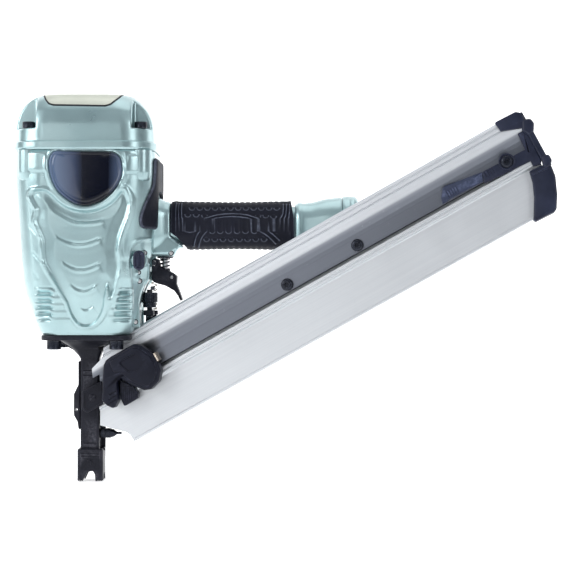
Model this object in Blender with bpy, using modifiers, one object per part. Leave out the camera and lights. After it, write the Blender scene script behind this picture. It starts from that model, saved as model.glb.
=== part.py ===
"""Pneumatic strip framing nailer, modelled as an assembly.

Frame: metres, +Z up. The origin is on the drive axis at the tip of the contact
foot, +X points from the nose toward the handle and the tail of the magazine,
-Y is the side that carries the feeder. All driving dimensions are millimetres
here and are turned into metres when a shape is made.
"""
import bpy
import bmesh
import math
from mathutils import Vector, Matrix, Euler

MM = 0.001
GAP = 0.3                      # clearance left between touching pieces

# ---------------------------------------------------------------- dimensions
# nose and foot
NOSE_TIP_Z = 10.0
COLUMN_X0, COLUMN_X1 = -8.3, 9.2
COLUMN_HALF_Y = 8.0
BORE_R = 4.75
FLANGE_Z0, FLANGE_Z1 = 129.3, 134.0
# body casting
BODY_Z0, BODY_Z1 = 134.4, 299.6
WALL = 4.6
INNER_Z0 = 146.0
CAP_Z0 = 301.4
# cylinder, piston and valve
LINER_RI, LINER_RO = 30.0, 32.8
LINER_Z0, LINER_Z1 = 146.4, 292.0
BUMPER_Z1 = 163.0
PISTON_Z0, PISTON_Z1 = 276.0, 290.0
STROKE = 112.0
BLADE_TIP_Z = 120.0
HEAD_VALVE_LIFT = 6.0
# handle
HANDLE_ZC = 233.0
GRIP_X0, GRIP_X1 = 75.0, 188.0
HANDLE_END_X = 231.5
CAP_END_X = 246.6
# trigger
TRIGGER_X, TRIGGER_Z = 59.4, 199.3
ARM_PIVOT_X, ARM_PIVOT_Z = 75.4, 185.6
VALVE_X = 68.0
# contact arm
DIAL_X = 54.6
# magazine: in its own frame x runs along it, y away from the feeder side, z across it
MAG_TOP_Z = 115.71
MAG_CANT = math.radians(8.0)
MAG_RISE = math.radians(29.06)
MAG_L1 = 443.0
RAIL_DEPTH = 39.5
CHANNEL_TOP, CHANNEL_BOTTOM = 43.0, 90.0
SLOT_HALF = 4.7                # between the walls; the wear strips narrow it


# ---------------------------------------------------------------- scene set-up
def clear_scene():
    for ob in list(bpy.data.objects):
        bpy.data.objects.remove(ob, do_unlink=True)
    for col in list(bpy.data.collections):
        bpy.data.collections.remove(col)


clear_scene()
PARTS = bpy.data.collections.new("strip_framing_nailer")
CUTTERS = bpy.data.collections.new("cutters")
bpy.context.scene.collection.children.link(PARTS)
bpy.context.scene.collection.children.link(CUTTERS)


def make_material(name, colour, roughness, metallic):
    mat = bpy.data.materials.new(name)
    mat.use_nodes = True
    bsdf = mat.node_tree.nodes["Principled BSDF"]
    bsdf.inputs["Base Color"].default_value = (*colour, 1.0)
    bsdf.inputs["Roughness"].default_value = roughness
    bsdf.inputs["Metallic"].default_value = metallic
    mat.diffuse_color = (*colour, 1.0)
    return mat


M_PAINT = make_material("pale_green_paint", (0.42, 0.58, 0.56), 0.32, 0.55)
M_COVER = make_material("champagne_metal", (0.72, 0.70, 0.58), 0.35, 0.9)
M_BLACKSTEEL = make_material("blackened_steel", (0.03, 0.03, 0.04), 0.42, 0.7)
M_PLASTIC = make_material("black_plastic", (0.02, 0.022, 0.035), 0.45, 0.0)
M_RUBBER = make_material("black_rubber", (0.018, 0.018, 0.024), 0.7, 0.0)
M_ALU = make_material("anodised_aluminium", (0.72, 0.74, 0.76), 0.3, 1.0)
M_STEEL = make_material("plain_steel", (0.5, 0.5, 0.5), 0.35, 1.0)
M_BADGE = make_material("navy_gloss", (0.03, 0.04, 0.09), 0.12, 0.0)
M_SPRING = make_material("spring_steel", (0.38, 0.33, 0.27), 0.35, 1.0)
M_FELT = make_material("filter_felt", (0.6, 0.58, 0.5), 0.9, 0.0)


# ---------------------------------------------------------------- helpers
def link(ob, mat=None, smooth=30.0):
    PARTS.objects.link(ob)
    if mat is not None:
        ob.data.materials.append(mat)
    if ob.type == "MESH" and smooth:
        ob.data.shade_smooth()
        ob.data.set_sharp_from_angle(angle=math.radians(smooth))
    return ob


def as_cutter(ob):
    for col in list(ob.users_collection):
        col.objects.unlink(ob)
    CUTTERS.objects.link(ob)
    ob.hide_render = True
    ob.display_type = "WIRE"
    return ob


def mesh_object(name, bm, mat=None, smooth=30.0):
    bmesh.ops.recalc_face_normals(bm, faces=bm.faces)
    me = bpy.data.meshes.new(name)
    bm.to_mesh(me)
    bm.free()
    return link(bpy.data.objects.new(name, me), mat, smooth)


def box(name, lo, hi, mat=None, bevel=0.0, segments=2):
    """Axis-aligned block between two corners (mm), with an optional bevel."""
    bm = bmesh.new()
    bmesh.ops.create_cube(bm, size=1.0)
    size = [(hi[i] - lo[i]) * MM for i in range(3)]
    bmesh.ops.scale(bm, vec=size, verts=bm.verts)
    bmesh.ops.translate(bm, vec=[(hi[i] + lo[i]) * 0.5 * MM for i in range(3)], verts=bm.verts)
    ob = mesh_object(name, bm, mat)
    if bevel:
        mod = ob.modifiers.new("edges", "BEVEL")
        mod.width = bevel * MM
        mod.segments = segments
        mod.limit_method = "ANGLE"
    return ob


def cylinder(name, r, length, centre, axis="Z", mat=None, segments=24, r2=None):
    bm = bmesh.new()
    bmesh.ops.create_cone(bm, cap_ends=True, segments=segments, radius1=r * MM,
                          radius2=(r if r2 is None else r2) * MM, depth=length * MM)
    if axis == "X":
        bmesh.ops.rotate(bm, matrix=Matrix.Rotation(math.pi / 2, 3, "Y"), verts=bm.verts)
    elif axis == "Y":
        bmesh.ops.rotate(bm, matrix=Matrix.Rotation(-math.pi / 2, 3, "X"), verts=bm.verts)
    bmesh.ops.translate(bm, vec=[c * MM for c in centre], verts=bm.verts)
    return mesh_object(name, bm, mat)


def turned(name, profile, centre=(0, 0, 0), mat=None, steps=20, rotate=None):
    """Solid of revolution about Z from a closed (radius, height) loop in mm, by a Screw modifier."""
    me = bpy.data.meshes.new(name)
    area = sum(profile[i][0] * profile[(i + 1) % len(profile)][1]
               - profile[(i + 1) % len(profile)][0] * profile[i][1] for i in range(len(profile)))
    loop = list(profile) if area < 0 else list(reversed(profile))   # outer side runs top to bottom
    on_axis = any(abs(p[0]) < 1e-6 for p in loop)
    verts = [(p[0] * MM, 0.0, p[1] * MM) for p in loop]
    n = len(verts)
    edges = [(i, (i + 1) % n) for i in range(n)]
    if on_axis:
        edges = [e for e in edges if not (abs(verts[e[0]][0]) < 1e-9 and abs(verts[e[1]][0]) < 1e-9)]
    me.from_pydata(verts, edges, [])
    ob = bpy.data.objects.new(name, me)
    ob.location = [c * MM for c in centre]
    if rotate is not None:
        ob.rotation_euler = rotate
    PARTS.objects.link(ob)
    if mat is not None:
        me.materials.append(mat)
    mod = ob.modifiers.new("turn", "SCREW")
    mod.steps = steps
    mod.render_steps = steps
    mod.use_merge_vertices = True
    mod.merge_threshold = 1e-5
    mod.use_smooth_shade = False
    return ob


def flat_outline(name, points, y0, y1, mat=None, bevel=0.0, plane="XZ", holes=()):
    """A flat outline in mm given a thickness. plane XZ extrudes along Y, XY along Z, YZ along X."""
    cu = bpy.data.curves.new(name, "CURVE")
    cu.dimensions = "2D"
    cu.fill_mode = "BOTH"
    cu.render_resolution_u = 0
    cu.extrude = (y1 - y0) * 0.5 * MM
    for loop in (points, *holes):
        sp = cu.splines.new("POLY")
        sp.points.add(len(loop) - 1)
        for i, p in enumerate(loop):
            sp.points[i].co = (p[0] * MM, p[1] * MM, 0.0, 1.0)
        sp.use_cyclic_u = True
    tmp = bpy.data.objects.new(name + "_outline", cu)
    bpy.context.scene.collection.objects.link(tmp)
    bpy.context.view_layer.update()
    me = bpy.data.meshes.new_from_object(tmp.evaluated_get(bpy.context.evaluated_depsgraph_get()))
    bpy.data.objects.remove(tmp, do_unlink=True)
    mid = (y0 + y1) * 0.5 * MM
    if plane == "XZ":
        turn = Matrix(((1, 0, 0, 0), (0, 0, -1, mid), (0, 1, 0, 0), (0, 0, 0, 1)))
    elif plane == "YZ":
        turn = Matrix(((0, 0, 1, mid), (1, 0, 0, 0), (0, 1, 0, 0), (0, 0, 0, 1)))
    else:
        turn = Matrix.Translation((0, 0, mid))
    me.transform(turn)
    me.materials.clear()
    me.name = name
    bm = bmesh.new()
    bm.from_mesh(me)
    bmesh.ops.remove_doubles(bm, verts=bm.verts, dist=1e-6)
    bmesh.ops.recalc_face_normals(bm, faces=bm.faces)
    bm.to_mesh(me)
    bm.free()
    ob = link(bpy.data.objects.new(name, me), mat)
    if bevel:
        mod = ob.modifiers.new("edges", "BEVEL")
        mod.width = bevel * MM
        mod.segments = 2
        mod.limit_method = "ANGLE"
        mod.angle_limit = math.radians(50)
    return ob


def rounded_loop(x0, x1, y0, y1, r, n=6):
    """Rounded rectangle, n segments per corner, anticlockwise."""
    r = min(r, (x1 - x0) * 0.5 - 0.01, (y1 - y0) * 0.5 - 0.01)
    pts = []
    for cx, cy, a0 in ((x1 - r, y1 - r, 0), (x0 + r, y1 - r, 90), (x0 + r, y0 + r, 180), (x1 - r, y0 + r, 270)):
        for i in range(n + 1):
            a = math.radians(a0 + 90.0 * i / n)
            pts.append((cx + r * math.cos(a), cy + r * math.sin(a)))
    return pts


def loft(name, sections, mat=None, smooth=35.0):
    """Closed skin over a list of loops, each a list of 3-D points in mm with one count."""
    bm = bmesh.new()
    rings = [[bm.verts.new([c * MM for c in p]) for p in sec] for sec in sections]
    n = len(rings[0])
    for a, b in zip(rings, rings[1:]):
        for i in range(n):
            j = (i + 1) % n
            bm.faces.new((a[i], a[j], b[j], b[i]))
    bm.faces.new(list(reversed(rings[0])))
    bm.faces.new(rings[-1])
    return mesh_object(name, bm, mat, smooth)


def lerp_table(table, t):
    """Values of a table of rows (t, a, b, ...) at t."""
    if t <= table[0][0]:
        return table[0][1:]
    for lo, hi in zip(table, table[1:]):
        if t <= hi[0]:
            f = (t - lo[0]) / (hi[0] - lo[0])
            return tuple(a + (b - a) * f for a, b in zip(lo[1:], hi[1:]))
    return table[-1][1:]


def boolean(ob, other, operation="DIFFERENCE"):
    as_cutter(other)
    mod = ob.modifiers.new(operation.lower(), "BOOLEAN")
    mod.operation = operation
    mod.object = other
    mod.solver = "EXACT"
    return ob


def cut(ob, *others):
    for other in others:
        boolean(ob, other, "DIFFERENCE")
    return ob


def join(ob, *others):
    for other in others:
        boolean(ob, other, "UNION")
    return ob


def coil(name, r, wire, z0, z1, turns, centre, mat, per_turn=10):
    """Compression spring as a poly curve with a round section."""
    cu = bpy.data.curves.new(name, "CURVE")
    cu.dimensions = "3D"
    cu.bevel_depth = wire * MM
    cu.bevel_resolution = 0
    cu.render_resolution_u = 0
    cu.use_fill_caps = True
    sp = cu.splines.new("POLY")
    n = int(turns * per_turn)
    sp.points.add(n)
    for i in range(n + 1):
        a = 2 * math.pi * i / per_turn
        z = z0 + wire + (z1 - z0 - 2 * wire) * i / n
        sp.points[i].co = (r * math.cos(a) * MM, r * math.sin(a) * MM, z * MM, 1.0)
    ob = bpy.data.objects.new(name, cu)
    ob.location = [c * MM for c in centre]
    PARTS.objects.link(ob)
    cu.materials.append(mat)
    return ob


def socket_bolt(name, head_r, head_h, shank_r, shank_l, centre, mat, direction=1, segments=12):
    """Socket-head screw: the head's seat is at centre, the shank runs along +Z times direction."""
    h = 0.55 * head_r
    hexr = 0.52 * head_r
    prof = [(0.0, shank_l), (shank_r, shank_l), (shank_r, 0.0), (head_r, 0.0), (head_r, -head_h + 0.5),
            (head_r - 0.5, -head_h), (hexr, -head_h), (hexr, -head_h + h), (0.0, -head_h + h)]
    if direction < 0:
        prof = [(r, -z) for r, z in prof]
    return turned(name, prof, centre, mat, steps=segments)


# ---------------------------------------------------------------- frames (empties)
assembly = bpy.data.objects.new("assembly", None)
PARTS.objects.link(assembly)


def hub(name, location=(0, 0, 0), rotation=(0, 0, 0), parent=None):
    e = bpy.data.objects.new(name, None)
    e.empty_display_size = 0.02
    e.location = [c * MM for c in location]
    e.rotation_euler = rotation
    e.parent = parent or assembly
    PARTS.objects.link(e)
    return e


magazine_frame = hub("magazine_frame", (0, 0, MAG_TOP_Z), (0.0, -MAG_RISE, -MAG_CANT))
bpy.context.view_layer.update()
MAG_MATRIX = magazine_frame.matrix_world.copy()


def in_magazine(ob):
    ob.parent = magazine_frame
    return ob


def mag_to_world(x, y, z):
    return tuple(c / MM for c in (MAG_MATRIX @ Vector((x * MM, y * MM, z * MM))))


# ---------------------------------------------------------------- housing
# z, x at the front, x at the rear, half width in y, corner radius
BARREL = (
    (134.4, -42.3, 40.0, 40.0, 22),
    (140.0, -44.6, 42.5, 42.5, 23),
    (147.0, -46.9, 45.0, 45.0, 24),
    (158.2, -50.6, 47.0, 48.5, 26),
    (169.3, -54.3, 49.0, 51.5, 28),
    (180.3, -57.0, 53.0, 53.0, 30),
    (186.0, -57.5, 55.3, 53.5, 30),
    (200.0, -58.8, 55.5, 54.2, 30),
    (204.5, -59.1, 58.0, 54.4, 30),
    (216.0, -59.8, 60.0, 54.8, 30),
    (246.6, -61.6, 61.8, 55.5, 29),
    (276.0, -63.0, 62.4, 56.0, 28),
    (299.6, -63.0, 62.4, 56.0, 28),
)


def barrel_loop(z, inset=0.0, n=5):
    x0, x1, hy, r = lerp_table(BARREL, z)
    return [(x, y, z) for x, y in rounded_loop(x0 + inset, x1 - inset, -hy + inset, hy - inset, max(r - inset, 3), n)]


# x, centre height, half height, half width
HANDLE = (
    (36.0, 233.0, 27.5, 21.0),
    (56.0, 233.0, 27.5, 20.5),
    (64.0, 233.5, 25.5, 18.5),
    (72.0, 233.8, 22.0, 16.5),
    (GRIP_X0 - 0.3, 233.8, 21.8, 16.5),
    (GRIP_X0 - 0.2, 233.8, 17.8, 13.6),
    (GRIP_X1 + 0.4, 233.8, 17.8, 13.6),
    (GRIP_X1 + 0.5, 233.0, 21.0, 16.6),
    (203.0, 233.0, 22.2, 18.2),
    (217.0, 233.0, 25.6, 20.0),
    (HANDLE_END_X, 233.0, 27.2, 21.6),
)


def handle_loop(x, inset=0.0, n=5, power_r=0.62):
    zc, hz, hy = lerp_table(HANDLE, x)
    hz, hy = hz - inset, hy - inset
    return [(x, y, zc + z) for y, z in rounded_loop(-hy, hy, -hz, hz, min(hy, hz) * (power_r + 0.3), n)]


housing = loft("housing", [barrel_loop(row[0]) for row in BARREL], M_PAINT)
join(housing, loft("handle_skin", [handle_loop(row[0]) for row in HANDLE]))
# boss for the selector knob and seat for the contact arm's spring
SELECT_X, SELECT_Z = 49.5, 201.2
join(housing, cylinder("selector_boss", 7.2, 21.0, (SELECT_X, -39.75, SELECT_Z), "Y", segments=20))
join(housing, box("spring_seat", (44.0, 9.4, 184.8), (61.2, 15.4, 192.0)))
# room for the magazine's front under the rear of the barrel
MAG_ROOM = ((-30.0, -13.2, -70.0), (95.0, 10.6, 1.2))
# underside of the handle root that carries the trigger valve, and the cheeks above the trigger
join(housing, flat_outline("trigger_root", [(50, 205.6), (62, 205.5), (78.5, 205.5), (80.5, 210.5), (83, 213.6),
                                            (87.6, 213.4), (80.7, 221.2), (74.4, 226.2), (50, 226.2)], -12.5, 12.5))
# lug for the trigger's pivot
join(housing, box("trigger_lug", (50, -4.6, 195.6), (63.0, 4.6, 207)))
# corner bosses for the cap bolts
for sx in (-1, 1):
    for sy in (-1, 1):
        join(housing, cylinder("cap_boss", 10.5, 28.0, (sx * 50.0 + 0.4, sy * 44.0, 285.6 - 0.01), segments=16))
# interior: barrel chamber, handle passage, driver hole


def chamber_loop(z, z_at=None):
    x0, x1, hy, r = lerp_table(BARREL, z)
    back = min(x1 - WALL, lerp_table(((146.0, 40.2), (190.0, 40.8), (204.5, 50.0), (216.0, 55.4), (400.0, 99.0)), z)[0])
    return [(x, y, z if z_at is None else z_at) for x, y in rounded_loop(x0 + WALL, back, -hy + WALL, hy - WALL, r - WALL, 4)]


cut(housing, loft("chamber", [chamber_loop(z) for z in (INNER_Z0, 158.2, 169.3, 180.3, 190.0, 204.5, 216.0, 246.6, 276.0)]
                  + [chamber_loop(299.0, 310.0)]))
cut(housing, loft("handle_passage", [
    [(x, y, zc + z) for y, z in rounded_loop(-hy, hy, -hz, hz, min(hy, hz) * 0.9, 5)]
    for x, zc, hz, hy in ((48.0, 236.0, 13.0, 10.5), (92.0, 236.0, 12.0, 10.0), (188.0, 233.8, 13.0, 10.0),
                          (215.0, 233.0, 15.0, 12.5), (HANDLE_END_X + 6, 233.0, 16.0, 13.0))]))
cut(housing, cylinder("driver_hole", 6.5, 30.0, (0, 0, 140.0)))
cut(housing, in_magazine(box("magazine_room", *MAG_ROOM)))
# trigger valve pocket and room for the depth dial
cut(housing, cylinder("valve_pocket", 9.6, 50.0, (VALVE_X + 1.0, 0, 222.0)))
cut(housing, cylinder("dial_room", 9.4, 90.0, (DIAL_X + 0.4, 0, 142.0)))
cut(housing, cylinder("trigger_pin_hole", 2.3, 30.0, (TRIGGER_X, 0, TRIGGER_Z), "Y", segments=16))
# blind holes for the nose bolts and the cap bolts
NOSE_BOLTS = [(-29.5, -28.0), (-29.5, 28.0), (27.0, -28.0), (27.0, 28.0)]
CAP_BOLTS = [(-49.8, -43.4), (-49.8, 43.4), (50.4, -43.4), (50.4, 43.4)]
for x, y in NOSE_BOLTS:
    cut(housing, cylinder("nose_bolt_hole", 3.3, 20.0, (x, y, 135.0), segments=10))
for x, y in CAP_BOLTS:
    cut(housing, cylinder("cap_bolt_hole", 3.0, 24.0, (x, y, 299.0), segments=10))
# pocket for the selector's spindle on the near side
cut(housing, cylinder("selector_hole", 3.1, 14.0, (SELECT_X, -49.0, SELECT_Z), "Y", segments=12))

# ---------------------------------------------------------------- cap
CAP = (
    (CAP_Z0, -65.0, 63.6, 58.0, 29),
    (306.5, -65.0, 63.6, 58.0, 29),
    (307.5, -63.2, 61.6, 56.4, 28),
    (322.0, -62.6, 60.6, 56.0, 28),
    (334.0, -60.0, 57.0, 53.5, 28),
    (341.0, -56.0, 52.0, 50.0, 27),
    (347.5, -49.5, 45.5, 44.0, 25),
    (350.5, -43.0, 40.0, 38.0, 22),
    (351.3, -36.0, 33.0, 31.0, 18),
)


def cap_loop(row, n=5):
    z, x0, x1, hy, r = row
    return [(x, y, z) for x, y in rounded_loop(x0, x1, -hy, hy, r, n)]


top_cap = loft("top_cap", [cap_loop(row) for row in CAP], M_PAINT)
# bolt pockets in the four corners
for x, y in CAP_BOLTS:
    sx, sy = (1 if x > 0 else -1), (1 if y > 0 else -1)
    cut(top_cap, box("bolt_pocket", (min(x - 7.5 * sx, x + 30 * sx), min(y - 7.5 * sy, y + 30 * sy), 319.0),
                     (max(x - 7.5 * sx, x + 30 * sx), max(y - 7.5 * sy, y + 30 * sy), 360.0)))
    cut(top_cap, cylinder("cap_bolt_bore", 3.3, 50.0, (x, y, 310.0), segments=10))
# head valve chamber, exhaust passage, recess for the exhaust cover
cut(top_cap, turned("valve_chamber", [(0, 334), (40.3, 334), (40.3, 300), (0, 300)], steps=24))
cut(top_cap, box("exhaust_passage", (-20, -16, 325), (40, 16, 362)))
COVER = ((-41.5, 357.0), (-38.0, 350.0), (-34.0, 344.2), (-30.0, 342.3), (23.0, 341.6), (28.0, 343.0), (33.0, 348.4),
         (38.0, 357.0))
cut(top_cap, flat_outline("cover_recess", COVER, -70, 70))

# exhaust cover: a shallow formed plate that fills the recess
exhaust_cover = flat_outline("exhaust_cover", [(-37.4, 350.6), (-33.2, 344.9), (-29.7, 342.9), (22.8, 342.2),
                                               (27.4, 343.5), (32.2, 348.6), (33.6, 351.0),
                                               (20.0, 353.0), (-20.0, 353.6), (-37.0, 352.0)], -33, 33, M_COVER, bevel=1.2)
cut(exhaust_cover, box("cover_hollow", (-24, -27, 330), (24, 27, 349.5)))
cut(exhaust_cover, cylinder("cover_screw_hole", 3.0, 40.0, (0, 0, 350), segments=10))
exhaust_cover_screw = turned("exhaust_cover_screw", [(0, 354.6), (2.0, 354.6), (5.6, 353.9), (5.6, 353.8),
                                                     (2.6, 353.75), (2.6, 338.0), (0, 338.0)], mat=M_BLACKSTEEL, steps=14)

cap_gasket = flat_outline("cap_gasket", rounded_loop(-60.5, 59.9, -54.0, 54.0, 26, 3), 299.9, 301.1, M_RUBBER, plane="XY",
                          holes=[list(reversed(rounded_loop(-46, 46, -46, 46, 40, 3)))])
for x, y in CAP_BOLTS:
    cut(cap_gasket, cylinder("gasket_hole", 3.3, 20.0, (x, y, 300.0), segments=10))
for i, (x, y) in enumerate(CAP_BOLTS):
    socket_bolt("cap_bolt_%d" % (i + 1), 5.7, 5.8, 2.7, 26.0, (x, y, 319.4), M_BLACKSTEEL, -1)

# ---------------------------------------------------------------- cylinder, piston, head valve
cylinder_liner = turned("cylinder_liner", [(LINER_RI, LINER_Z0), (LINER_RO, LINER_Z0), (LINER_RO, 286), (35.5, 288),
                                           (35.5, LINER_Z1), (LINER_RI, LINER_Z1)], mat=M_ALU, steps=20)
return_air_band = turned("return_air_band", [(LINER_RO + 0.3, 196), (LINER_RO + 2.4, 196), (LINER_RO + 2.4, 204),
                                             (LINER_RO + 0.3, 204)], mat=M_RUBBER, steps=20)
piston_bumper = turned("piston_bumper", [(7.5, 146.6), (29.4, 146.6), (29.4, 152), (27.0, 158), (27.0, BUMPER_Z1),
                                         (10.0, BUMPER_Z1), (7.5, 160)], mat=M_RUBBER, steps=20)
piston = turned("piston", [(0, PISTON_Z0 + 9), (0, PISTON_Z1 - 3), (22, PISTON_Z1 - 3), (24, PISTON_Z1), (29.7, PISTON_Z1),
                           (29.7, 286.4), (26.6, 286.4), (26.6, 281.8), (29.7, 281.8), (29.7, PISTON_Z0 + 1), (28.7, PISTON_Z0),
                           (5.4, PISTON_Z0), (5.4, PISTON_Z0 + 9)], mat=M_ALU, steps=20)
piston_o_ring = turned("piston_o_ring", [(28.3 + 1.4 * math.cos(a), 284.1 + 1.7 * math.sin(a))
                                         for a in [2 * math.pi * i / 6 for i in range(6)]], mat=M_RUBBER, steps=20)
driver_blade = turned("driver_blade", [(0, PISTON_Z0 + 8.6), (5.0, PISTON_Z0 + 8.6), (5.0, PISTON_Z0 - 3), (3.6, PISTON_Z0 - 6),
                                       (3.6, BLADE_TIP_Z), (0, BLADE_TIP_Z)], mat=M_STEEL, steps=16)
head_valve = turned("head_valve", [(0, 298.5), (0, 293), (27, 293), (29, 292.4), (36.5, 292.4), (39.6, 296), (39.6, 300.0),
                                   (36, 300.0), (30, 299.0), (24.5, 299.0), (24.5, 324.0), (19.0, 324.0), (19.0, 298.5)],
                    mat=M_PLASTIC, steps=20)
head_valve_spring = coil("head_valve_spring", 14.5, 1.1, 298.9, 333.6, 4, (0, 0, 0), M_SPRING)

# ---------------------------------------------------------------- handle pieces
grip_sleeve = loft("grip_sleeve", [
    [(x, y, zc + z) for y, z in rounded_loop(-hy, hy, -hz, hz, min(hy, hz) * 0.92, 5)]
    for x, zc, hz, hy in ((GRIP_X0, 233.9, 21.0, 16.6), (GRIP_X0 + 1.4, 233.9, 22.2, 17.8), (130.0, 233.9, 22.2, 18.0),
                          (GRIP_X1 - 1.4, 233.9, 22.2, 17.8), (GRIP_X1, 233.9, 21.0, 16.6))], M_RUBBER)
cut(grip_sleeve, loft("grip_bore", [
    [(x, y, 233.8 + z) for y, z in rounded_loop(-13.9, 13.9, -18.1, 18.1, 13.6 * 0.92, 5)] for x in (60.0, 205.0)]))
# the grip's lower front corner is cut back along the trigger root
cut(grip_sleeve, flat_outline("grip_corner", [(70, 205), (70, 227.5), (75.2, 227.0), (81.6, 222.0), (89.4, 213.2), (91.0, 205)],
                              -30, 30))
cut(grip_sleeve, flat_outline("grip_end_slant", [(184.6, 262), (184.6, 256.5), (187.3, 240), (188.6, 205), (200, 205), (200, 262)],
                              -30, 30))

inlet_cap = loft("inlet_cap", [
    [(x, y, 233.0 + z) for y, z in rounded_loop(-hy, hy, -hz, hz, min(hy, hz) * 0.92, 5)]
    for x, hz, hy in ((HANDLE_END_X + 0.4, 27.4, 21.8), (234.5, 28.0, 22.6), (241.5, 28.0, 23.4), (245.0, 26.4, 22.2),
                      (CAP_END_X, 22.5, 19.0))], M_PAINT)
cut(inlet_cap, cylinder("inlet_port", 8.4, 40.0, (240, 0, 233.0), "X", segments=32))
cut(inlet_cap, cylinder("hanger_bolt_hole_a", 2.8, 30.0, (239.0, 0, 198.0), segments=16))
cut(housing, turned("filter_seat", [(0, 10), (17.2, 10), (17.2, -3.4), (0, -3.4)], (HANDLE_END_X, 0, 233.0),
                    rotate=(0, math.pi / 2, 0), steps=32))
inlet_filter = turned("inlet_filter", [(0, 0), (16.8, 0), (16.8, -3.0), (0, -3.0)], (HANDLE_END_X - 0.05, 0, 233.0), M_FELT,
                      rotate=(0, math.pi / 2, 0), steps=32)

# rear pads: rubber strips let onto the rear corners of the barrel
def rear_pad(name, side):
    # height, and the two angles round the barrel's rear corner between which the pad lies
    rows = ((229.5, -5, 44), (231.5, -10, 51), (238.0, -12, 54), (250.0, -12, 47), (260.0, -12, 36), (268.0, -12, 25), (280.0, -12, 20),
            (291.0, -10, 18), (293.5, -4, 12))
    secs = []
    for z, a0, a1 in rows:
        x0, x1, hy, r = lerp_table(BARREL, z)
        cx, cy = x1 - r, hy - r
        arc = [math.radians(a0 + (a1 - a0) * k / 6) for k in range(7)]
        outer = [(cx + (r + 3.0) * math.cos(a), cy + (r + 3.0) * math.sin(a)) for a in arc]
        inner = [(cx + (r + 0.9) * math.cos(a), cy + (r + 0.9) * math.sin(a)) for a in reversed(arc)]
        secs.append([(x, side * y, z) for x, y in outer + inner])
    return loft(name, secs, M_RUBBER)


rear_pad("rear_pad_near", -1)
rear_pad("rear_pad_far", 1)


def badge(name, side):
    pts = [(-32.5, 257), (-33.8, 262), (-32.5, 276), (-31.0, 288), (-27.5, 295.2), (-22, 297.2), (22, 297.2), (28.5, 295.4),
           (31.5, 288), (33.2, 276), (33.8, 266), (32.0, 259), (27.0, 253.0), (18.0, 248.0), (8.0, 246.0), (-8.0, 246.0),
           (-18, 248.6), (-27, 253.0)]
    y0, y1 = sorted((side * 56.3, side * 58.6))
    return flat_outline(name, pts, y0, y1, M_BADGE, bevel=0.8)


badge("side_badge_near", -1)
badge("side_badge_far", 1)

# ---------------------------------------------------------------- nose
nose_casting = flat_outline("nose_casting", rounded_loop(-41.5, 40.0, -37.5, 37.5, 14), FLANGE_Z0, FLANGE_Z1, M_BLACKSTEEL, plane="XY")
join(nose_casting, loft("nose_funnel", [[(x, y, z) for x, y in rounded_loop(x0, x1, -hy, hy, r, 3)] for z, x0, x1, hy, r in (
    (112.0, COLUMN_X0, COLUMN_X1, COLUMN_HALF_Y, 2.5), (118.0, -12.0, 11.5, 10.0, 4), (124.0, -19.0, 17.0, 15.0, 6),
    (129.0, -26.0, 24.0, 22.0, 8), (131.5, -28.0, 26.0, 24.0, 8))]))
join(nose_casting, loft("nose_column", [[(x, y, z) for x, y in rounded_loop(COLUMN_X0, COLUMN_X1, -COLUMN_HALF_Y, COLUMN_HALF_Y, 2.5, 3)]
                                        for z in (NOSE_TIP_Z, 112.5)]))
cut(nose_casting, cylinder("drive_bore", BORE_R, 200.0, (0, 0, 80.0), segments=24))
cut(nose_casting, box("shank_slot", (0.0, -3.4, 15.0), (30, 2.4, 99.0)))
cut(nose_casting, box("head_slot", (0.0, -5.0, 98.0), (30, 4.0, 107.5)))
for x, y in NOSE_BOLTS:
    cut(nose_casting, cylinder("flange_hole", 3.3, 20.0, (x, y, 131.0), segments=10))
cut(nose_casting, in_magazine(box("magazine_room_nose", (12.0, -13.2, -60.0), (95.0, 10.6, 1.2))))
for i, (x, y) in enumerate(NOSE_BOLTS):
    socket_bolt("nose_bolt_%d" % (i + 1), 6.4, 8.0, 3.0, 14.0, (x, y, FLANGE_Z0 - GAP), M_BLACKSTEEL, 1)

nose_front_plate = flat_outline("nose_front_plate", [(-8.6, 110), (-10.2, 109), (-10.2, 88), (-14.4, 79.5), (-14.4, 60), (-11.0, 54),
                                                     (-10.2, 47.5), (-8.6, 47.0)], -6.5, 6.5, M_BLACKSTEEL, bevel=0.4)
cut(nose_front_plate, cylinder("front_plate_hole", 1.3, 30.0, (-12.0, 0, 65.0), "Y", segments=12))

nose_side_bracket = flat_outline("nose_side_bracket", [(-6.0, 82.0), (12.6, 92.3), (13.6, 70.4), (-1.0, 62.6), (-6.0, 66.0)],
                                 -15.2, -12.9, M_BLACKSTEEL, bevel=0.5)
join(nose_side_bracket, box("bracket_foot", (-6.0, -13.2, 66.5), (3.0, -8.3, 81.5)))

magazine_catch = turned("magazine_catch", [(0, 0), (4.2, 0), (4.6, 0.8), (4.6, 9.0), (3.4, 12.4), (2.0, 14.2), (1.2, 15.4), (1.2, 19.5), (0, 19.5)],
                        (9.6, 0, 43.2), M_BLACKSTEEL, steps=14, rotate=(0, math.pi / 2, 0))

# ---------------------------------------------------------------- magazine
RAIL_NEAR = [(9.5, 0.6), (10.6, 2.0), (10.6, 7.6), (9.9, 8.0), (9.9, 8.6), (11.0, 9.0), (11.3, 12.0), (11.0, 15.5), (9.2, 19.5),
             (7.6, 23.5), (7.0, 27.0), (7.0, RAIL_DEPTH)]
def extrude_magazine(name, profile, l0, l1, mat):
    """Prism along the magazine from a (w, v) profile: w toward the feeder side, v down from the top edge."""
    ob = flat_outline(name, [(-w, -v) for w, v in profile], l0, l1, mat, plane="YZ")
    return in_magazine(ob)


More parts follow.
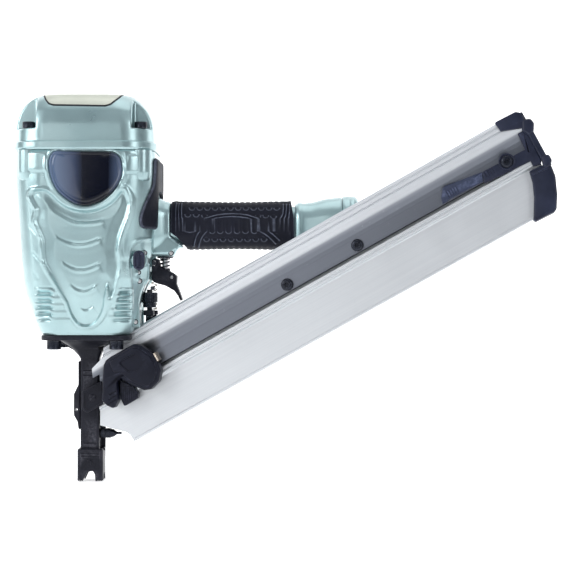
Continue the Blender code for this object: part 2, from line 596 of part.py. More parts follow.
# The extrusion is split into its walls, so that each is a plain bar or plate: the top bar, the stepped near wall and the plate
# that closes the whole far side; below them the near plate and the strip along the bottom edge.
magazine_top_rail = extrude_magazine("magazine_top_rail", [(-8.0, 0.0), (9.0, 0.0), (9.5, 0.6), (10.6, 2.0), (10.6, 5.1), (-8.5, 5.1),
                                                           (-8.5, 0.5)], -12.0, MAG_L1, M_ALU)
magazine_near_rail = extrude_magazine("magazine_near_rail", [(SLOT_HALF, 5.4), (10.6, 5.4)] + RAIL_NEAR[2:] + [(SLOT_HALF, RAIL_DEPTH)],
                                      -12.0, MAG_L1, M_ALU)
magazine_far_plate = extrude_magazine("magazine_far_plate", [(-SLOT_HALF, 5.4), (-SLOT_HALF, 85.3), (-8.5, 85.3), (-8.5, 5.4)],
                                      -45.0, MAG_L1, M_ALU)
CHANNEL_NEAR = [(9.2, CHANNEL_TOP), (9.5, 43.6), (9.5, 45.4), (8.9, 45.8), (8.9, 46.6), (9.5, 47.0), (9.5, 48.6), (7.0, 49.4), (5.8, 50.4),
                (5.8, 85.3)]
magazine_lower_plate = extrude_magazine("magazine_lower_plate", [(SLOT_HALF, CHANNEL_TOP)] + CHANNEL_NEAR + [(SLOT_HALF, 85.3)],
                                        -45.0, MAG_L1 - 8, M_ALU)
magazine_base_strip = extrude_magazine("magazine_base_strip", [(5.8, 85.6), (5.8, 87.4), (6.6, 88.2), (6.6, 89.6), (6.2, CHANNEL_BOTTOM),
                                                               (-8.1, CHANNEL_BOTTOM), (-8.5, 89.6), (-8.5, 85.6)], -45.0, MAG_L1 - 8, M_ALU)


def vertical_cut(name, points, y0=-60.0, y1=40.0):
    """Prism with its outline in the upright plane through the magazine, in world millimetres."""
    ob = flat_outline(name, points, y0, y1)
    ob.rotation_euler = (0, 0, -MAG_CANT)
    return ob


# holes for the two magazine screws and for the tail cap's screw
for x in (192.1, 264.6, 416.1):
    cut(magazine_near_rail, in_magazine(cylinder("screw_hole", 2.55, 8.0, (x, -8.3, -33.7), "Y", segments=16)))
# fronts: the near walls start beside the nose column, the rest behind it
INNER_FRONT = [(-60, 50.8), (10.9, 50.8), (10.9, 107), (15.0, 117), (15.0, 150), (-60, 150)]
cut(magazine_near_rail, vertical_cut("near_rail_front", [(-60, 60), (4.6, 60), (4.6, 103), (13.0, 111.5), (15.0, 117), (15.0, 150), (-60, 150)]))
cut(magazine_near_rail, vertical_cut("near_rail_inner", INNER_FRONT, -8.6, 60))
cut(magazine_top_rail, vertical_cut("top_rail_front", INNER_FRONT))
LOWER_FRONT = [(-60, -20), (43.5, -20), (43.5, 36.0), (39.0, 42.4), (35.5, 44.8), (28.5, 46.6), (10.9, 50.8)]
cut(magazine_far_plate, vertical_cut("far_plate_front", LOWER_FRONT + INNER_FRONT[2:]))
cut(magazine_lower_plate, vertical_cut("lower_plate_front", LOWER_FRONT + [(10.9, 110), (-60, 110)]))
cut(magazine_base_strip, vertical_cut("base_strip_front", LOWER_FRONT + [(10.9, 110), (-60, 110)]))
# tail ends follow the slanted end frame
for piece in (magazine_lower_plate, magazine_base_strip, magazine_far_plate):
    cut(piece, in_magazine(flat_outline("channel_tail", [(424.3, -68), (411.0, -93), (470, -93), (470, -39.5), (426.6, -39.5),
                                                         (426.6, -52)], -30, 30)))


def button_screw(name, head_r, head_h, shank_r, shank_l, centre, mat):
    """Round-head socket screw whose axis is the magazine frame's y, head toward -y."""
    prof = [(0, -shank_l), (shank_r, -shank_l), (shank_r, 0), (head_r, 0), (head_r, head_h * 0.35), (head_r * 0.82, head_h * 0.8),
            (head_r * 0.6, head_h), (head_r * 0.42, head_h), (head_r * 0.42, head_h * 0.35), (0, head_h * 0.35)]
    ob = turned(name, prof, centre, mat, steps=14, rotate=(math.pi / 2, 0, 0))
    return in_magazine(ob)


magazine_screw_1 = button_screw("magazine_screw_1", 5.6, 4.4, 2.1, 2.0, (192.1, -7.3, -33.6), M_BLACKSTEEL)
magazine_screw_2 = button_screw("magazine_screw_2", 5.6, 4.4, 2.1, 2.0, (264.6, -7.3, -33.6), M_BLACKSTEEL)

# tail cap: frame round the loading end with its long arm in the channel
tail_cap = in_magazine(flat_outline("tail_cap", [(423.2, 2.2), (444.6, 1.8), (448.0, -7.2), (455.0, -10.5), (456.4, -17.5), (450.0, -23.8),
                                                 (450.2, -43.5), (454.0, -48.5), (449.6, -56.8), (443.4, -77.3), (434.5, -92.2),
                                                 (411.6, -93.4), (411.2, -91.6), (425.0, -68.2), (427.0, -52.2), (427.0, -39.8), (MAG_L1 + 0.4, -39.8),
                                                 (MAG_L1 + 0.4, 0.4), (423.2, 0.4)],
                                    -12.6, 10.6, M_PLASTIC))
join(tail_cap, in_magazine(flat_outline("tail_near_wall", [(427.2, -52.0), (449.0, -57.0), (443.0, -77.3), (434.3, -92.0), (411.8, -93.2),
                                                          (411.2, -91.2), (412.0, -89.6), (424.6, -68.2)], -12.6, -6.9)))
join(tail_cap, in_magazine(flat_outline("tail_far_wall", [(427.2, -40.0), (449.0, -40.0), (449.0, -57.0), (443.0, -77.3), (434.3, -92.0),
                                                         (411.8, -93.2), (411.2, -91.2), (412.0, -89.6), (424.6, -68.2)], 8.8, 11.0)))
join(tail_cap, in_magazine(box("tail_top_near", (423.2, -12.8, -9.6), (446.0, -11.6, 2.0))))
join(tail_cap, in_magazine(box("tail_arm_root", (436.5, -11.0, -45.0), (448.0, -7.9, -25.0))))
join(tail_cap, in_magazine(box("tail_arm", (390.8, -11.0, -39.3), (446.0, -7.3, -28.6))))
cut(tail_cap, in_magazine(box("loading_slot", (405.0, -SLOT_HALF, -85.4), (480.0, SLOT_HALF, -5.6))))
cut(tail_cap, in_magazine(box("below_channel", (380.0, -8.9, -90.3), (436.0, 8.7, -40.0))))
cut(tail_cap, in_magazine(cylinder("tail_screw_hole", 2.5, 30.0, (416.1, -10.0, -34.0), "Y", segments=12)))
tail_cap_screw = button_screw("tail_cap_screw", 5.2, 2.6, 2.1, 5.6, (416.1, -11.3, -34.0), M_BLACKSTEEL)
nail_stopper = in_magazine(flat_outline("nail_stopper", [(349.5, -37.0), (352.5, -28.8), (389.6, -28.8), (389.6, -39.2), (352.0, -39.2)],
                                        -10.4, -7.4, M_PLASTIC, bevel=0.5))

# hanger between the handle's end cap and the magazine's far side
hx, hy_, hz = 239.0, 0.0, 198.0
magazine_hanger = box("magazine_hanger", (229.0, -8.0, 199.6), (247.0, 14.0, 204.3), M_BLACKSTEEL, bevel=0.8)
join(magazine_hanger, vertical_cut("hanger_plate", [(232.0, 158.0), (250.0, 158.0), (250.0, 203.5), (232.0, 203.5)], 8.9, 12.4))
join(magazine_hanger, box("hanger_bridge", (229.5, -23.0, 190.0), (246.5, 12.0, 203.9)))
cut(magazine_hanger, cylinder("hanger_bolt_hole", 3.0, 30.0, (hx, 0.0, 198.0), segments=16))
cut(magazine_hanger, box("hanger_relief", (225.0, -16.0, 180.0), (252.0, 20.0, 199.3)))
hanger_bolt = socket_bolt("hanger_bolt", 4.8, 5.0, 2.5, 12.0, (hx, 0.0, 199.0), M_BLACKSTEEL, 1)

# ---------------------------------------------------------------- feeder
feeder_block = in_magazine(flat_outline("feeder_block", [
    (12.3, -17.0), (16.1, -14.2), (22.0, -13.4), (46.0, -13.6), (51.1, -17.7), (57.3, -29.4), (57.6, -38.0), (56.4, -46.3),
    (49.9, -54.1), (40.0, -57.0), (33.8, -54.6), (31.4, -51.3), (25.9, -45.1), (20.1, -33.7), (15.5, -36.5), (9.5, -50.6), (1.5, -56.2),
    (-2.9, -50.1), (-4.8, -43.9), (0.5, -36.0), (5.6, -27.0)], -27.0, -12.1, M_PLASTIC, bevel=1.4))
join(feeder_block, in_magazine(box("feeder_neck", (24.0, -13.5, -42.6), (50.0, 2.6, -39.9))))
cut(feeder_block, in_magazine(cylinder("drum_pocket", 6.8, 11.6, (54.6, -18.6, -33.6), segments=24)))
feeder_pusher = in_magazine(flat_outline("feeder_pusher", [(13.8, -14.0), (52.0, -14.0), (52.0, -39.6), (-1.0, -39.6)], -2.8, 2.8,
                                         M_BLACKSTEEL))
join(feeder_pusher, in_magazine(flat_outline("pusher_lower", [(13.0, -43.0), (48.0, -43.0), (34.0, -70.0), (-10.0, -70.0), (-3.0, -43.0)],
                                             -2.8, 2.8)))
cut(feeder_block, in_magazine(box("neck_room", (20.0, 0.0, -44.0), (60.0, 6.0, -36.0))))
join(feeder_pusher, in_magazine(box("pusher_web", (0.0, 0.3, -45.0), (20.0, 2.8, -38.0))))
feeder_release = in_magazine(flat_outline("feeder_release", [(15.8, -39.0), (18.8, -37.0), (24.6, -46.8), (24.0, -54.6), (10.9, -54.0), (10.9, -51.2)],
                                          -21.0, -12.6, M_PLASTIC, bevel=0.6))
feeder_spring_drum = in_magazine(turned("feeder_spring_drum", [(2.0, -37.6), (6.0, -37.6), (6.0, -29.6), (2.0, -29.6)],
                                        (54.6, -18.6, 0), M_SPRING, steps=24))

# ---------------------------------------------------------------- trigger group
trigger_valve_body = turned("trigger_valve_body", [(3.1, 204.0), (7.4, 204.0), (9.0, 206.0), (9.0, 232.0), (7.0, 234.0), (7.0, 243.0),
                                                   (3.1, 243.0)], (VALVE_X + 1.0, 0, 0), M_BLACKSTEEL, steps=24)
trigger_valve_plunger = turned("trigger_valve_plunger", [(0, 190.2), (2.0, 190.2), (2.7, 191.2), (2.7, 236.0), (0, 236.0)],
                               (VALVE_X + 1.0, 0, 0), M_STEEL, steps=16)
TRIG = [(57.4, 202.3), (59.8, 204.0), (63.4, 202.9), (64.9, 196.5), (71.8, 193.3), (80.3, 187.9), (79.9, 180.4), (82.6, 173.5),
        (85.4, 165.8), (83.4, 164.6), (81.2, 169.4), (77.8, 174.1), (69.9, 178.6), (60.8, 181.1), (57.0, 184.0)]
trigger = flat_outline("trigger", TRIG, -8.6, 8.6, M_BLACKSTEEL)
cut(trigger, flat_outline("trigger_channel", [(50, 210), (74.0, 215), (78.2, 190.5), (78.2, 184.2), (69.0, 183.0), (60.0, 184.4),
                                              (50, 184.4)], -5.2, 5.2))
cut(trigger, box("rod_window", (50.0, -4.4, 178.0), (61.5, 4.4, 190.0)))
cut(trigger, cylinder("trigger_pin_bore", 2.3, 30.0, (TRIGGER_X, 0, TRIGGER_Z), "Y", segments=16))
cut(trigger, cylinder("arm_pin_bore", 1.6, 30.0, (ARM_PIVOT_X, 0, ARM_PIVOT_Z + 0.8), "Y", segments=12))
trigger_pivot_pin = cylinder("trigger_pivot_pin", 2.0, 20.0, (TRIGGER_X, 0, TRIGGER_Z), "Y", M_STEEL, segments=16)
trigger_arm = flat_outline("trigger_arm", [(56.6, 187.0), (72.0, 185.4), (77.4, 184.9), (77.6, 188.4), (72.0, 189.4), (56.6, 189.2)],
                           -3.6, 3.6, M_STEEL)
cut(trigger_arm, cylinder("arm_bore", 1.6, 30.0, (ARM_PIVOT_X, 0, ARM_PIVOT_Z + 0.8), "Y", segments=12))
trigger_arm_pin = cylinder("trigger_arm_pin", 1.3, 18.4, (ARM_PIVOT_X, 0, ARM_PIVOT_Z + 0.8), "Y", M_STEEL, segments=12)
OVAL = [(SELECT_X + 5.2 * math.cos(a), SELECT_Z + 3.6 * (1 if math.sin(a) > 0 else -1) + 5.2 * math.sin(a))
        for a in [2 * math.pi * (i + 0.5) / 20 for i in range(20)]]
selector_knob = flat_outline("selector_knob", OVAL, -55.2, -51.3, M_PLASTIC)
join(selector_knob, cylinder("selector_spindle", 2.7, 9.0, (SELECT_X, -48.5, SELECT_Z), "Y", segments=12))

# ---------------------------------------------------------------- contact arm group
contact_arm_rod = cylinder("contact_arm_rod", 2.5, 25.5, (DIAL_X, 0, 162.5), mat=M_BLACKSTEEL, segments=16)
join(contact_arm_rod, box("rod_tongue", (55.6, -3.4, 174.7), (59.6, 3.4, 178.2)))
depth_dial = turned("depth_dial", [(2.9, 158.6), (6.2, 158.6), (6.2, 163.0), (7.6, 163.6), (7.6, 172.0), (7.0, 172.6), (2.9, 172.6)],
                    (DIAL_X, 0, 0), M_BLACKSTEEL, steps=20)
contact_foot = flat_outline("contact_foot", [(49.9, 155.6), (60.0, 155.6), (60.0, 140.0), (58.5, 122.0), (54.0, 112.5), (13.5, 88.0), (12.6, 20.0),
                                             (-6.0, 20.0), (-6.0, 90.0), (4.0, 99.5), (49.9, 118.8)], 12.2, 15.4, M_BLACKSTEEL)
join(contact_foot, box("foot_yoke", (49.2, -5.0, 151.4), (58.6, 14.8, 156.2)))
join(contact_foot, box("spring_pad", (52.0, 9.0, 151.9), (61.4, 14.2, 155.9)))
join(contact_foot, loft("foot_sleeve", [[(x, y, z) for x, y in rounded_loop(-10.6, 12.9, -11.4, 13.4, 2.0, 2)] for z in (0.0, 29.4)]))
cut(contact_foot, cylinder("yoke_bore", 2.9, 20.0, (DIAL_X, 0, 154.0), segments=16))
cut(contact_foot, box("sleeve_bore", (-8.8, -8.8, -10.0), (9.8, 8.8, 60.0)))
cut(contact_foot, flat_outline("claw_arch_side", [(-6.8, -5), (-5.4, 0.6), (-1.6, 8.4), (3.8, 9.6), (5.6, 6.0), (6.4, -5)], -30, 30))
cut(contact_foot, flat_outline("claw_arch_front", [(-7.6, -5), (-6.4, 1.0), (-3.0, 7.0), (3.0, 7.0), (6.4, 1.0), (7.6, -5)], -30, 30, plane="YZ"))
cut(contact_foot, box("catch_room", (9.5, -6.4, 27.0), (40, 6.4, 60.0)))
contact_arm_spring = coil("contact_arm_spring", 2.7, 0.45, 156.5, 184.5, 6, (57.9, 12.3, 0), M_SPRING, per_turn=8)

# ---------------------------------------------------------------- parenting
bpy.context.view_layer.update()
for ob in list(PARTS.objects) + list(CUTTERS.objects):
    if ob.type != "EMPTY" and ob.parent is None:
        ob.parent = assembly
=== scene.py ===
"""Looks for the strip framing nailer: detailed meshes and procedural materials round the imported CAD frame.

Everything is in the frame's own coordinates: metres, +Z up along the drive axis, +X toward the tail of the
magazine, -Y toward the side that carries the feeder. Dimensions below are millimetres and are turned into
metres when a mesh is made.
"""

import math

import bmesh
import bpy
import numpy as np
from mathutils import Euler, Matrix, Vector


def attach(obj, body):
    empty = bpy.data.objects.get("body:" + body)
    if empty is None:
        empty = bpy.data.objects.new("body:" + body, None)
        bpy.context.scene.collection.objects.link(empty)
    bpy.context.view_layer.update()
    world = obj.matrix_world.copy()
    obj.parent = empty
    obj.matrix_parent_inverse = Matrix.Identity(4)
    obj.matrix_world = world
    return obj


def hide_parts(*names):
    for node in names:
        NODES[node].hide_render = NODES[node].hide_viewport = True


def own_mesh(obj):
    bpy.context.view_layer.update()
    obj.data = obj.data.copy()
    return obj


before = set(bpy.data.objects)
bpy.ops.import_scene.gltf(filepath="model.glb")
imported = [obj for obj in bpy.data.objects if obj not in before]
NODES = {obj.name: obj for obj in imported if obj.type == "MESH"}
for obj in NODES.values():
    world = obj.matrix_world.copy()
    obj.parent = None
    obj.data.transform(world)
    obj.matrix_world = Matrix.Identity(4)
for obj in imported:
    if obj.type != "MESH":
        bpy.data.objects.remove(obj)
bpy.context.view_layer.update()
MM = 0.001

# ============================================================ shared dimensions (mm), as the CAD frame has them
MAG_TOP_Z = 115.71
MAG_RISE, MAG_CANT = math.radians(29.06), math.radians(8.0)
MAG_L1 = 443.0
WALL = 4.6
BARREL = (
    (134.4, -42.3, 40.0, 40.0, 22), (140.0, -44.6, 42.5, 42.5, 23), (147.0, -46.9, 45.0, 45.0, 24),
    (158.2, -50.6, 47.0, 48.5, 26), (169.3, -54.3, 49.0, 51.5, 28), (180.3, -57.0, 53.0, 53.0, 30),
    (186.0, -57.5, 55.3, 53.5, 30), (200.0, -58.8, 55.5, 54.2, 30), (204.5, -59.1, 58.0, 54.4, 30),
    (216.0, -59.8, 60.0, 54.8, 30), (246.6, -61.6, 61.8, 55.5, 29), (276.0, -63.0, 62.4, 56.0, 28),
    (299.6, -63.0, 62.4, 56.0, 28),
)
HANDLE = (
    (36.0, 233.0, 27.5, 21.0), (56.0, 233.0, 27.5, 20.5), (64.0, 233.5, 25.5, 18.5), (72.0, 233.8, 22.0, 16.5),
    (74.7, 233.8, 21.8, 16.5), (74.8, 233.8, 17.8, 13.6), (188.4, 233.8, 17.8, 13.6), (188.5, 233.0, 21.0, 16.6),
    (203.0, 233.0, 22.2, 18.2), (217.0, 233.0, 25.6, 20.0), (231.5, 233.0, 27.2, 21.6),
)
CAP = (
    (301.4, -65.0, 63.6, 58.0, 29), (306.5, -65.0, 63.6, 58.0, 29), (307.5, -63.2, 61.6, 56.4, 28),
    (322.0, -62.6, 60.6, 56.0, 28), (334.0, -60.0, 57.0, 53.5, 28), (341.0, -56.0, 52.0, 50.0, 27),
    (347.5, -49.5, 45.5, 44.0, 25), (350.5, -43.0, 40.0, 38.0, 22), (351.3, -36.0, 33.0, 31.0, 18),
)
CAP_BOLTS = [(-49.8, -43.4), (-49.8, 43.4), (50.4, -43.4), (50.4, 43.4)]
NOSE_BOLTS = [(-29.5, -28.0), (-29.5, 28.0), (27.0, -28.0), (27.0, 28.0)]
SELECT_X, SELECT_Z = 49.5, 201.2
TRIGGER_X, TRIGGER_Z = 59.4, 199.3
ARM_X, ARM_Z = 75.4, 186.4
VALVE_X = 69.0
DIAL_X = 54.6

# ============================================================ mesh helpers


def link(ob):
    bpy.context.scene.collection.objects.link(ob)
    return ob


def shade(me, angle=35.0):
    me.shade_smooth()
    me.set_sharp_from_angle(angle=math.radians(angle))
    return me


def from_arrays(name, verts_mm, faces, angle=35.0):
    me = bpy.data.meshes.new(name)
    me.from_pydata([tuple(v) for v in np.asarray(verts_mm, float) * MM], [], faces)
    bm = bmesh.new()
    bm.from_mesh(me)
    bmesh.ops.recalc_face_normals(bm, faces=bm.faces)
    bm.to_mesh(me)
    bm.free()
    shade(me, angle)
    return link(bpy.data.objects.new(name, me))


def skin(name, rings, angle=35.0, caps=True):
    """Closed skin over an array of rings [n_rings, n_round, 3] in mm."""
    rings = np.asarray(rings, float)
    m, n, _ = rings.shape
    idx = np.arange(m * n).reshape(m, n)
    a, b = idx[:-1], idx[1:]
    a2, b2 = np.roll(a, -1, axis=1), np.roll(b, -1, axis=1)
    quads = np.stack([a, a2, b2, b], axis=-1).reshape(-1, 4).tolist()
    if caps:
        quads.append(idx[0][::-1].tolist())
        quads.append(idx[-1].tolist())
    return from_arrays(name, rings.reshape(-1, 3), quads, angle)


def box(name, lo, hi, bevel=0.0, segments=3):
    bm = bmesh.new()
    bmesh.ops.create_cube(bm, size=1.0)
    bmesh.ops.scale(bm, vec=[(hi[i] - lo[i]) * MM for i in range(3)], verts=bm.verts)
    bmesh.ops.translate(bm, vec=[(hi[i] + lo[i]) * 0.5 * MM for i in range(3)], verts=bm.verts)
    if bevel:
        bmesh.ops.bevel(bm, geom=list(bm.edges), offset=bevel * MM, segments=segments, profile=0.5, affect="EDGES")
    me = bpy.data.meshes.new(name)
    bm.to_mesh(me)
    bm.free()
    shade(me)
    return link(bpy.data.objects.new(name, me))


def turn_matrix(axis):
    if axis == "X":
        return Matrix.Rotation(math.pi / 2, 4, "Y")
    if axis == "-X":
        return Matrix.Rotation(-math.pi / 2, 4, "Y")
    if axis == "Y":
        return Matrix.Rotation(-math.pi / 2, 4, "X")
    if axis == "-Y":
        return Matrix.Rotation(math.pi / 2, 4, "X")
    return Matrix.Identity(4)


def cylinder(name, r, length, centre, axis="Z", segments=48, r2=None):
    bm = bmesh.new()
    bmesh.ops.create_cone(bm, cap_ends=True, segments=segments, radius1=r * MM,
                          radius2=(r if r2 is None else r2) * MM, depth=length * MM)
    me = bpy.data.meshes.new(name)
    bm.to_mesh(me)
    bm.free()
    me.transform(Matrix.Translation([c * MM for c in centre]) @ turn_matrix(axis))
    shade(me)
    return link(bpy.data.objects.new(name, me))


def turned(name, profile, centre=(0, 0, 0), axis="Z", steps=48, flute=None, angle=35.0):
    """Solid of revolution from a closed (radius, height) loop in mm. flute(r, z, angle) changes the radius."""
    prof = np.array(profile, float)
    ang = np.arange(steps) * 2 * math.pi / steps
    verts, faces, rows = [], [], []
    for r, z in prof:
        if r < 1e-6:
            rows.append([len(verts)])
            verts.append((0, 0, z))
        else:
            rows.append(list(range(len(verts), len(verts) + steps)))
            for t in ang:
                rr = r if flute is None else flute(r, z, t)
                verts.append((rr * math.cos(t), rr * math.sin(t), z))
    n = len(prof)
    for i in range(n):
        a, b = rows[i], rows[(i + 1) % n]
        if len(a) == 1 and len(b) == 1:
            continue
        for k in range(steps):
            k2 = (k + 1) % steps
            if len(a) == 1:
                faces.append((a[0], b[k2], b[k]))
            elif len(b) == 1:
                faces.append((a[k], a[k2], b[0]))
            else:
                faces.append((a[k], a[k2], b[k2], b[k]))
    ob = from_arrays(name, verts, faces, angle)
    ob.data.transform(Matrix.Translation([c * MM for c in centre]) @ turn_matrix(axis))
    return ob


def smooth_profile(points, r=0.6, n=4):
    """A closed (r, z) loop or outline with its corners rounded by r mm. A third value in a point sets its own radius."""
    out = []
    m = len(points)
    for i in range(m):
        p0, p1, p2 = (np.array(points[(i + k) % m][:2], float) for k in (-1, 0, 1))
        rad = points[i][2] if len(points[i]) > 2 else r
        d0, d2 = p0 - p1, p2 - p1
        l0, l2 = np.linalg.norm(d0), np.linalg.norm(d2)
        if rad <= 0 or l0 < 1e-6 or l2 < 1e-6:
            out.append(tuple(p1))
            continue
        d0, d2 = d0 / l0, d2 / l2
        cosa = float(np.clip(d0 @ d2, -1, 1))
        if cosa < -0.9995:
            out.append(tuple(p1))
            continue
        half = math.acos(cosa) / 2
        t = min(rad / math.tan(half), 0.46 * l0, 0.46 * l2)
        a, b = p1 + d0 * t, p1 + d2 * t
        for k in range(n + 1):
            s = k / n
            q = (1 - s) ** 2 * a + 2 * s * (1 - s) * p1 + s * s * b
            out.append(tuple(q))
    return out


def plate(name, points, y0, y1, bevel=0.0, plane="XZ", holes=(), segments=3, angle=40.0):
    """A flat outline in mm given a thickness, edges rounded. plane XZ extrudes along Y, XY along Z, YZ along X."""
    cu = bpy.data.curves.new(name, "CURVE")
    cu.dimensions = "2D"
    cu.fill_mode = "BOTH"
    cu.extrude = (y1 - y0) * 0.5 * MM
    for loop in (points, *holes):
        sp = cu.splines.new("POLY")
        sp.points.add(len(loop) - 1)
        for i, p in enumerate(loop):
            sp.points[i].co = (p[0] * MM, p[1] * MM, 0.0, 1.0)
        sp.use_cyclic_u = True
    tmp = link(bpy.data.objects.new(name + "_outline", cu))
    bpy.context.view_layer.update()
    me = bpy.data.meshes.new_from_object(tmp.evaluated_get(bpy.context.evaluated_depsgraph_get()))
    bpy.data.objects.remove(tmp, do_unlink=True)
    bpy.data.curves.remove(cu)
    mid = (y0 + y1) * 0.5 * MM
    if plane == "XZ":
        turn = Matrix(((1, 0, 0, 0), (0, 0, -1, mid), (0, 1, 0, 0), (0, 0, 0, 1)))
    elif plane == "YZ":
        turn = Matrix(((0, 0, 1, mid), (1, 0, 0, 0), (0, 1, 0, 0), (0, 0, 0, 1)))
    else:
        turn = Matrix.Translation((0, 0, mid))
    me.transform(turn)
    me.materials.clear()
    me.name = name
    bm = bmesh.new()
    bm.from_mesh(me)
    bmesh.ops.remove_doubles(bm, verts=bm.verts, dist=1e-6)
    bmesh.ops.recalc_face_normals(bm, faces=bm.faces)
    if bevel:
        rim = [e for e in bm.edges if len(e.link_faces) == 2 and e.calc_face_angle(0) > math.radians(60)]
        flat = [e for e in rim if abs((e.verts[0].co - e.verts[1].co).normalized().dot(
            Vector((0, 1, 0) if plane == "XZ" else (1, 0, 0) if plane == "YZ" else (0, 0, 1)))) < 0.5]
        bmesh.ops.bevel(bm, geom=flat, offset=bevel * MM, segments=segments, profile=0.5, affect="EDGES")
    bm.to_mesh(me)
    bm.free()
    shade(me, angle)
    return link(bpy.data.objects.new(name, me))


def bake(ob):
    me = bpy.data.meshes.new_from_object(ob.evaluated_get(bpy.context.evaluated_depsgraph_get()))
    ob.modifiers.clear()
    old = ob.data
    ob.data = me
    bpy.data.meshes.remove(old)
    return ob


def combine(ob, others, operation, solver="MANIFOLD", angle=35.0):
    for other in others:
        mod = ob.modifiers.new("b", "BOOLEAN")
        mod.operation = operation
        mod.object = other
        mod.solver = solver
    bpy.context.view_layer.update()
    bake(ob)
    for other in others:
        bpy.data.objects.remove(other, do_unlink=True)
    ob.data.materials.clear()
    shade(ob.data, angle)
    return ob


def cut(ob, *others, **kw):
    return combine(ob, others, "DIFFERENCE", **kw)


def join(ob, *others, **kw):
    return combine(ob, others, "UNION", **kw)


def move(ob, matrix):
    ob.data.transform(matrix)
    return ob


MAG = Matrix.Translation((0, 0, MAG_TOP_Z * MM)) @ Euler((0.0, -MAG_RISE, -MAG_CANT)).to_matrix().to_4x4()


def in_magazine(ob):
    return move(ob, MAG)


def lerp_table(table, t):
    if t <= table[0][0]:
        return table[0][1:]
    for lo, hi in zip(table, table[1:]):
        if t <= hi[0]:
            f = (t - lo[0]) / (hi[0] - lo[0])
            return tuple(a + (b - a) * f for a, b in zip(lo[1:], hi[1:]))
    return table[-1][1:]


def smooth_table(table, t):
    """Monotone cubic through the table's rows, so that a loft has no creases at them."""
    xs = np.array([r[0] for r in table], float)
    ys = np.array([r[1:] for r in table], float)
    t = min(max(t, xs[0]), xs[-1])
    i = int(min(max(np.searchsorted(xs, t, side="right") - 1, 0), len(xs) - 2))
    h = np.diff(xs)
    d = np.diff(ys, axis=0) / h[:, None]
    m = np.zeros_like(ys)
    m[0], m[-1] = d[0], d[-1]
    for k in range(1, len(xs) - 1):
        same = d[k - 1] * d[k] > 0
        w1, w2 = 2 * h[k] + h[k - 1], h[k] + 2 * h[k - 1]
        with np.errstate(divide="ignore", invalid="ignore"):
            mk = (w1 + w2) / (w1 / d[k - 1] + w2 / d[k])
        m[k] = np.where(same, mk, 0.0)
    s = (t - xs[i]) / h[i]
    h00, h10, h01, h11 = 2 * s ** 3 - 3 * s ** 2 + 1, s ** 3 - 2 * s ** 2 + s, -2 * s ** 3 + 3 * s ** 2, s ** 3 - s ** 2
    return tuple(h00 * ys[i] + h10 * h[i] * m[i] + h01 * ys[i + 1] + h11 * h[i] * m[i + 1])


def rounded_loop(x0, x1, y0, y1, r, n=6):
    r = min(r, (x1 - x0) * 0.5 - 0.01, (y1 - y0) * 0.5 - 0.01)
    pts = []
    for cx, cy, a0 in ((x1 - r, y1 - r, 0), (x0 + r, y1 - r, 90), (x0 + r, y0 + r, 180), (x1 - r, y0 + r, 270)):
        for i in range(n + 1):
            a = math.radians(a0 + 90.0 * i / n)
            pts.append((cx + r * math.cos(a), cy + r * math.sin(a)))
    return pts


def even_loop(x0, x1, hy, r, flat_n, end_n, corner_n):
    """Rounded rectangle with chosen numbers of points on the long flats, on the ends and on each corner; with normals."""
    pts, nor = [], []
    r = min(r, (x1 - x0) * 0.5 - 0.5, hy - 0.5)

    def line(p, q, n, nv):
        for i in range(n):
            f = i / n
            pts.append((p[0] + (q[0] - p[0]) * f, p[1] + (q[1] - p[1]) * f))
            nor.append(nv)

    def arc(cx, cy, a0, n):
        for i in range(n):
            a = math.radians(a0 + 90.0 * i / n)
            pts.append((cx + r * math.cos(a), cy + r * math.sin(a)))
            nor.append((math.cos(a), math.sin(a)))

    line((x1, -hy + r), (x1, hy - r), end_n, (1, 0))
    arc(x1 - r, hy - r, 0, corner_n)
    line((x1 - r, hy), (x0 + r, hy), flat_n, (0, 1))
    arc(x0 + r, hy - r, 90, corner_n)
    line((x0, hy - r), (x0, -hy + r), end_n, (-1, 0))
    arc(x0 + r, -hy + r, 180, corner_n)
    line((x0 + r, -hy), (x1 - r, -hy), flat_n, (0, -1))
    arc(x1 - r, -hy + r, 270, corner_n)
    return np.array(pts, float), np.array(nor, float)


# ---- side drawing: relief is laid out on one elevation drawing (u right, v down, about 0.9 mm per unit) and projected
# onto both flanks from an eye point 1.55 m out, so that a line stays straight over the curved casting.
EYE_X, EYE_Z, EYE_Y, DRAW = 182.0, 176.6, 1547.0, 1681.0


def side_uv(p):
    depth = EYE_Y - np.abs(p[..., 1])
    return 288.0 + DRAW * (p[..., 0] - EYE_X) / depth, 288.0 - DRAW * (p[..., 2] - EYE_Z) / depth


def seg_dist(u, v, pts, closed=False):
    """(distance to the polyline, length along it at the nearest point, signed side) for arrays u, v."""
    pts = np.array(pts, float)
    if closed:
        pts = np.vstack([pts, pts[:1]])
    best = np.full(u.shape, 1e9)
    along = np.zeros(u.shape)
    side = np.zeros(u.shape)
    run = 0.0
    for a, b in zip(pts[:-1], pts[1:]):
        d = b - a
        L = float(np.hypot(*d))
        if L < 1e-9:
            continue
        t = np.clip(((u - a[0]) * d[0] + (v - a[1]) * d[1]) / (L * L), 0, 1)
        du, dv = u - (a[0] + t * d[0]), v - (a[1] + t * d[1])
        dist = np.hypot(du, dv)
        near = dist < best
        best = np.where(near, dist, best)
        along = np.where(near, run + t * L, along)
        side = np.where(near, np.sign(d[0] * dv - d[1] * du), side)
        run += L
    return best, along / run, side


def inside(u, v, pts):
    c = np.zeros(u.shape, bool)
    n = len(pts)
    for i in range(n):
        x0, y0 = pts[i]
        x1, y1 = pts[(i + 1) % n]
        cond = (y0 > v) != (y1 > v)
        with np.errstate(divide="ignore", invalid="ignore"):
            xi = (x1 - x0) * (v - y0) / (y1 - y0 if abs(y1 - y0) > 1e-12 else 1e-12) + x0
        c ^= cond & (u < xi)
    return c


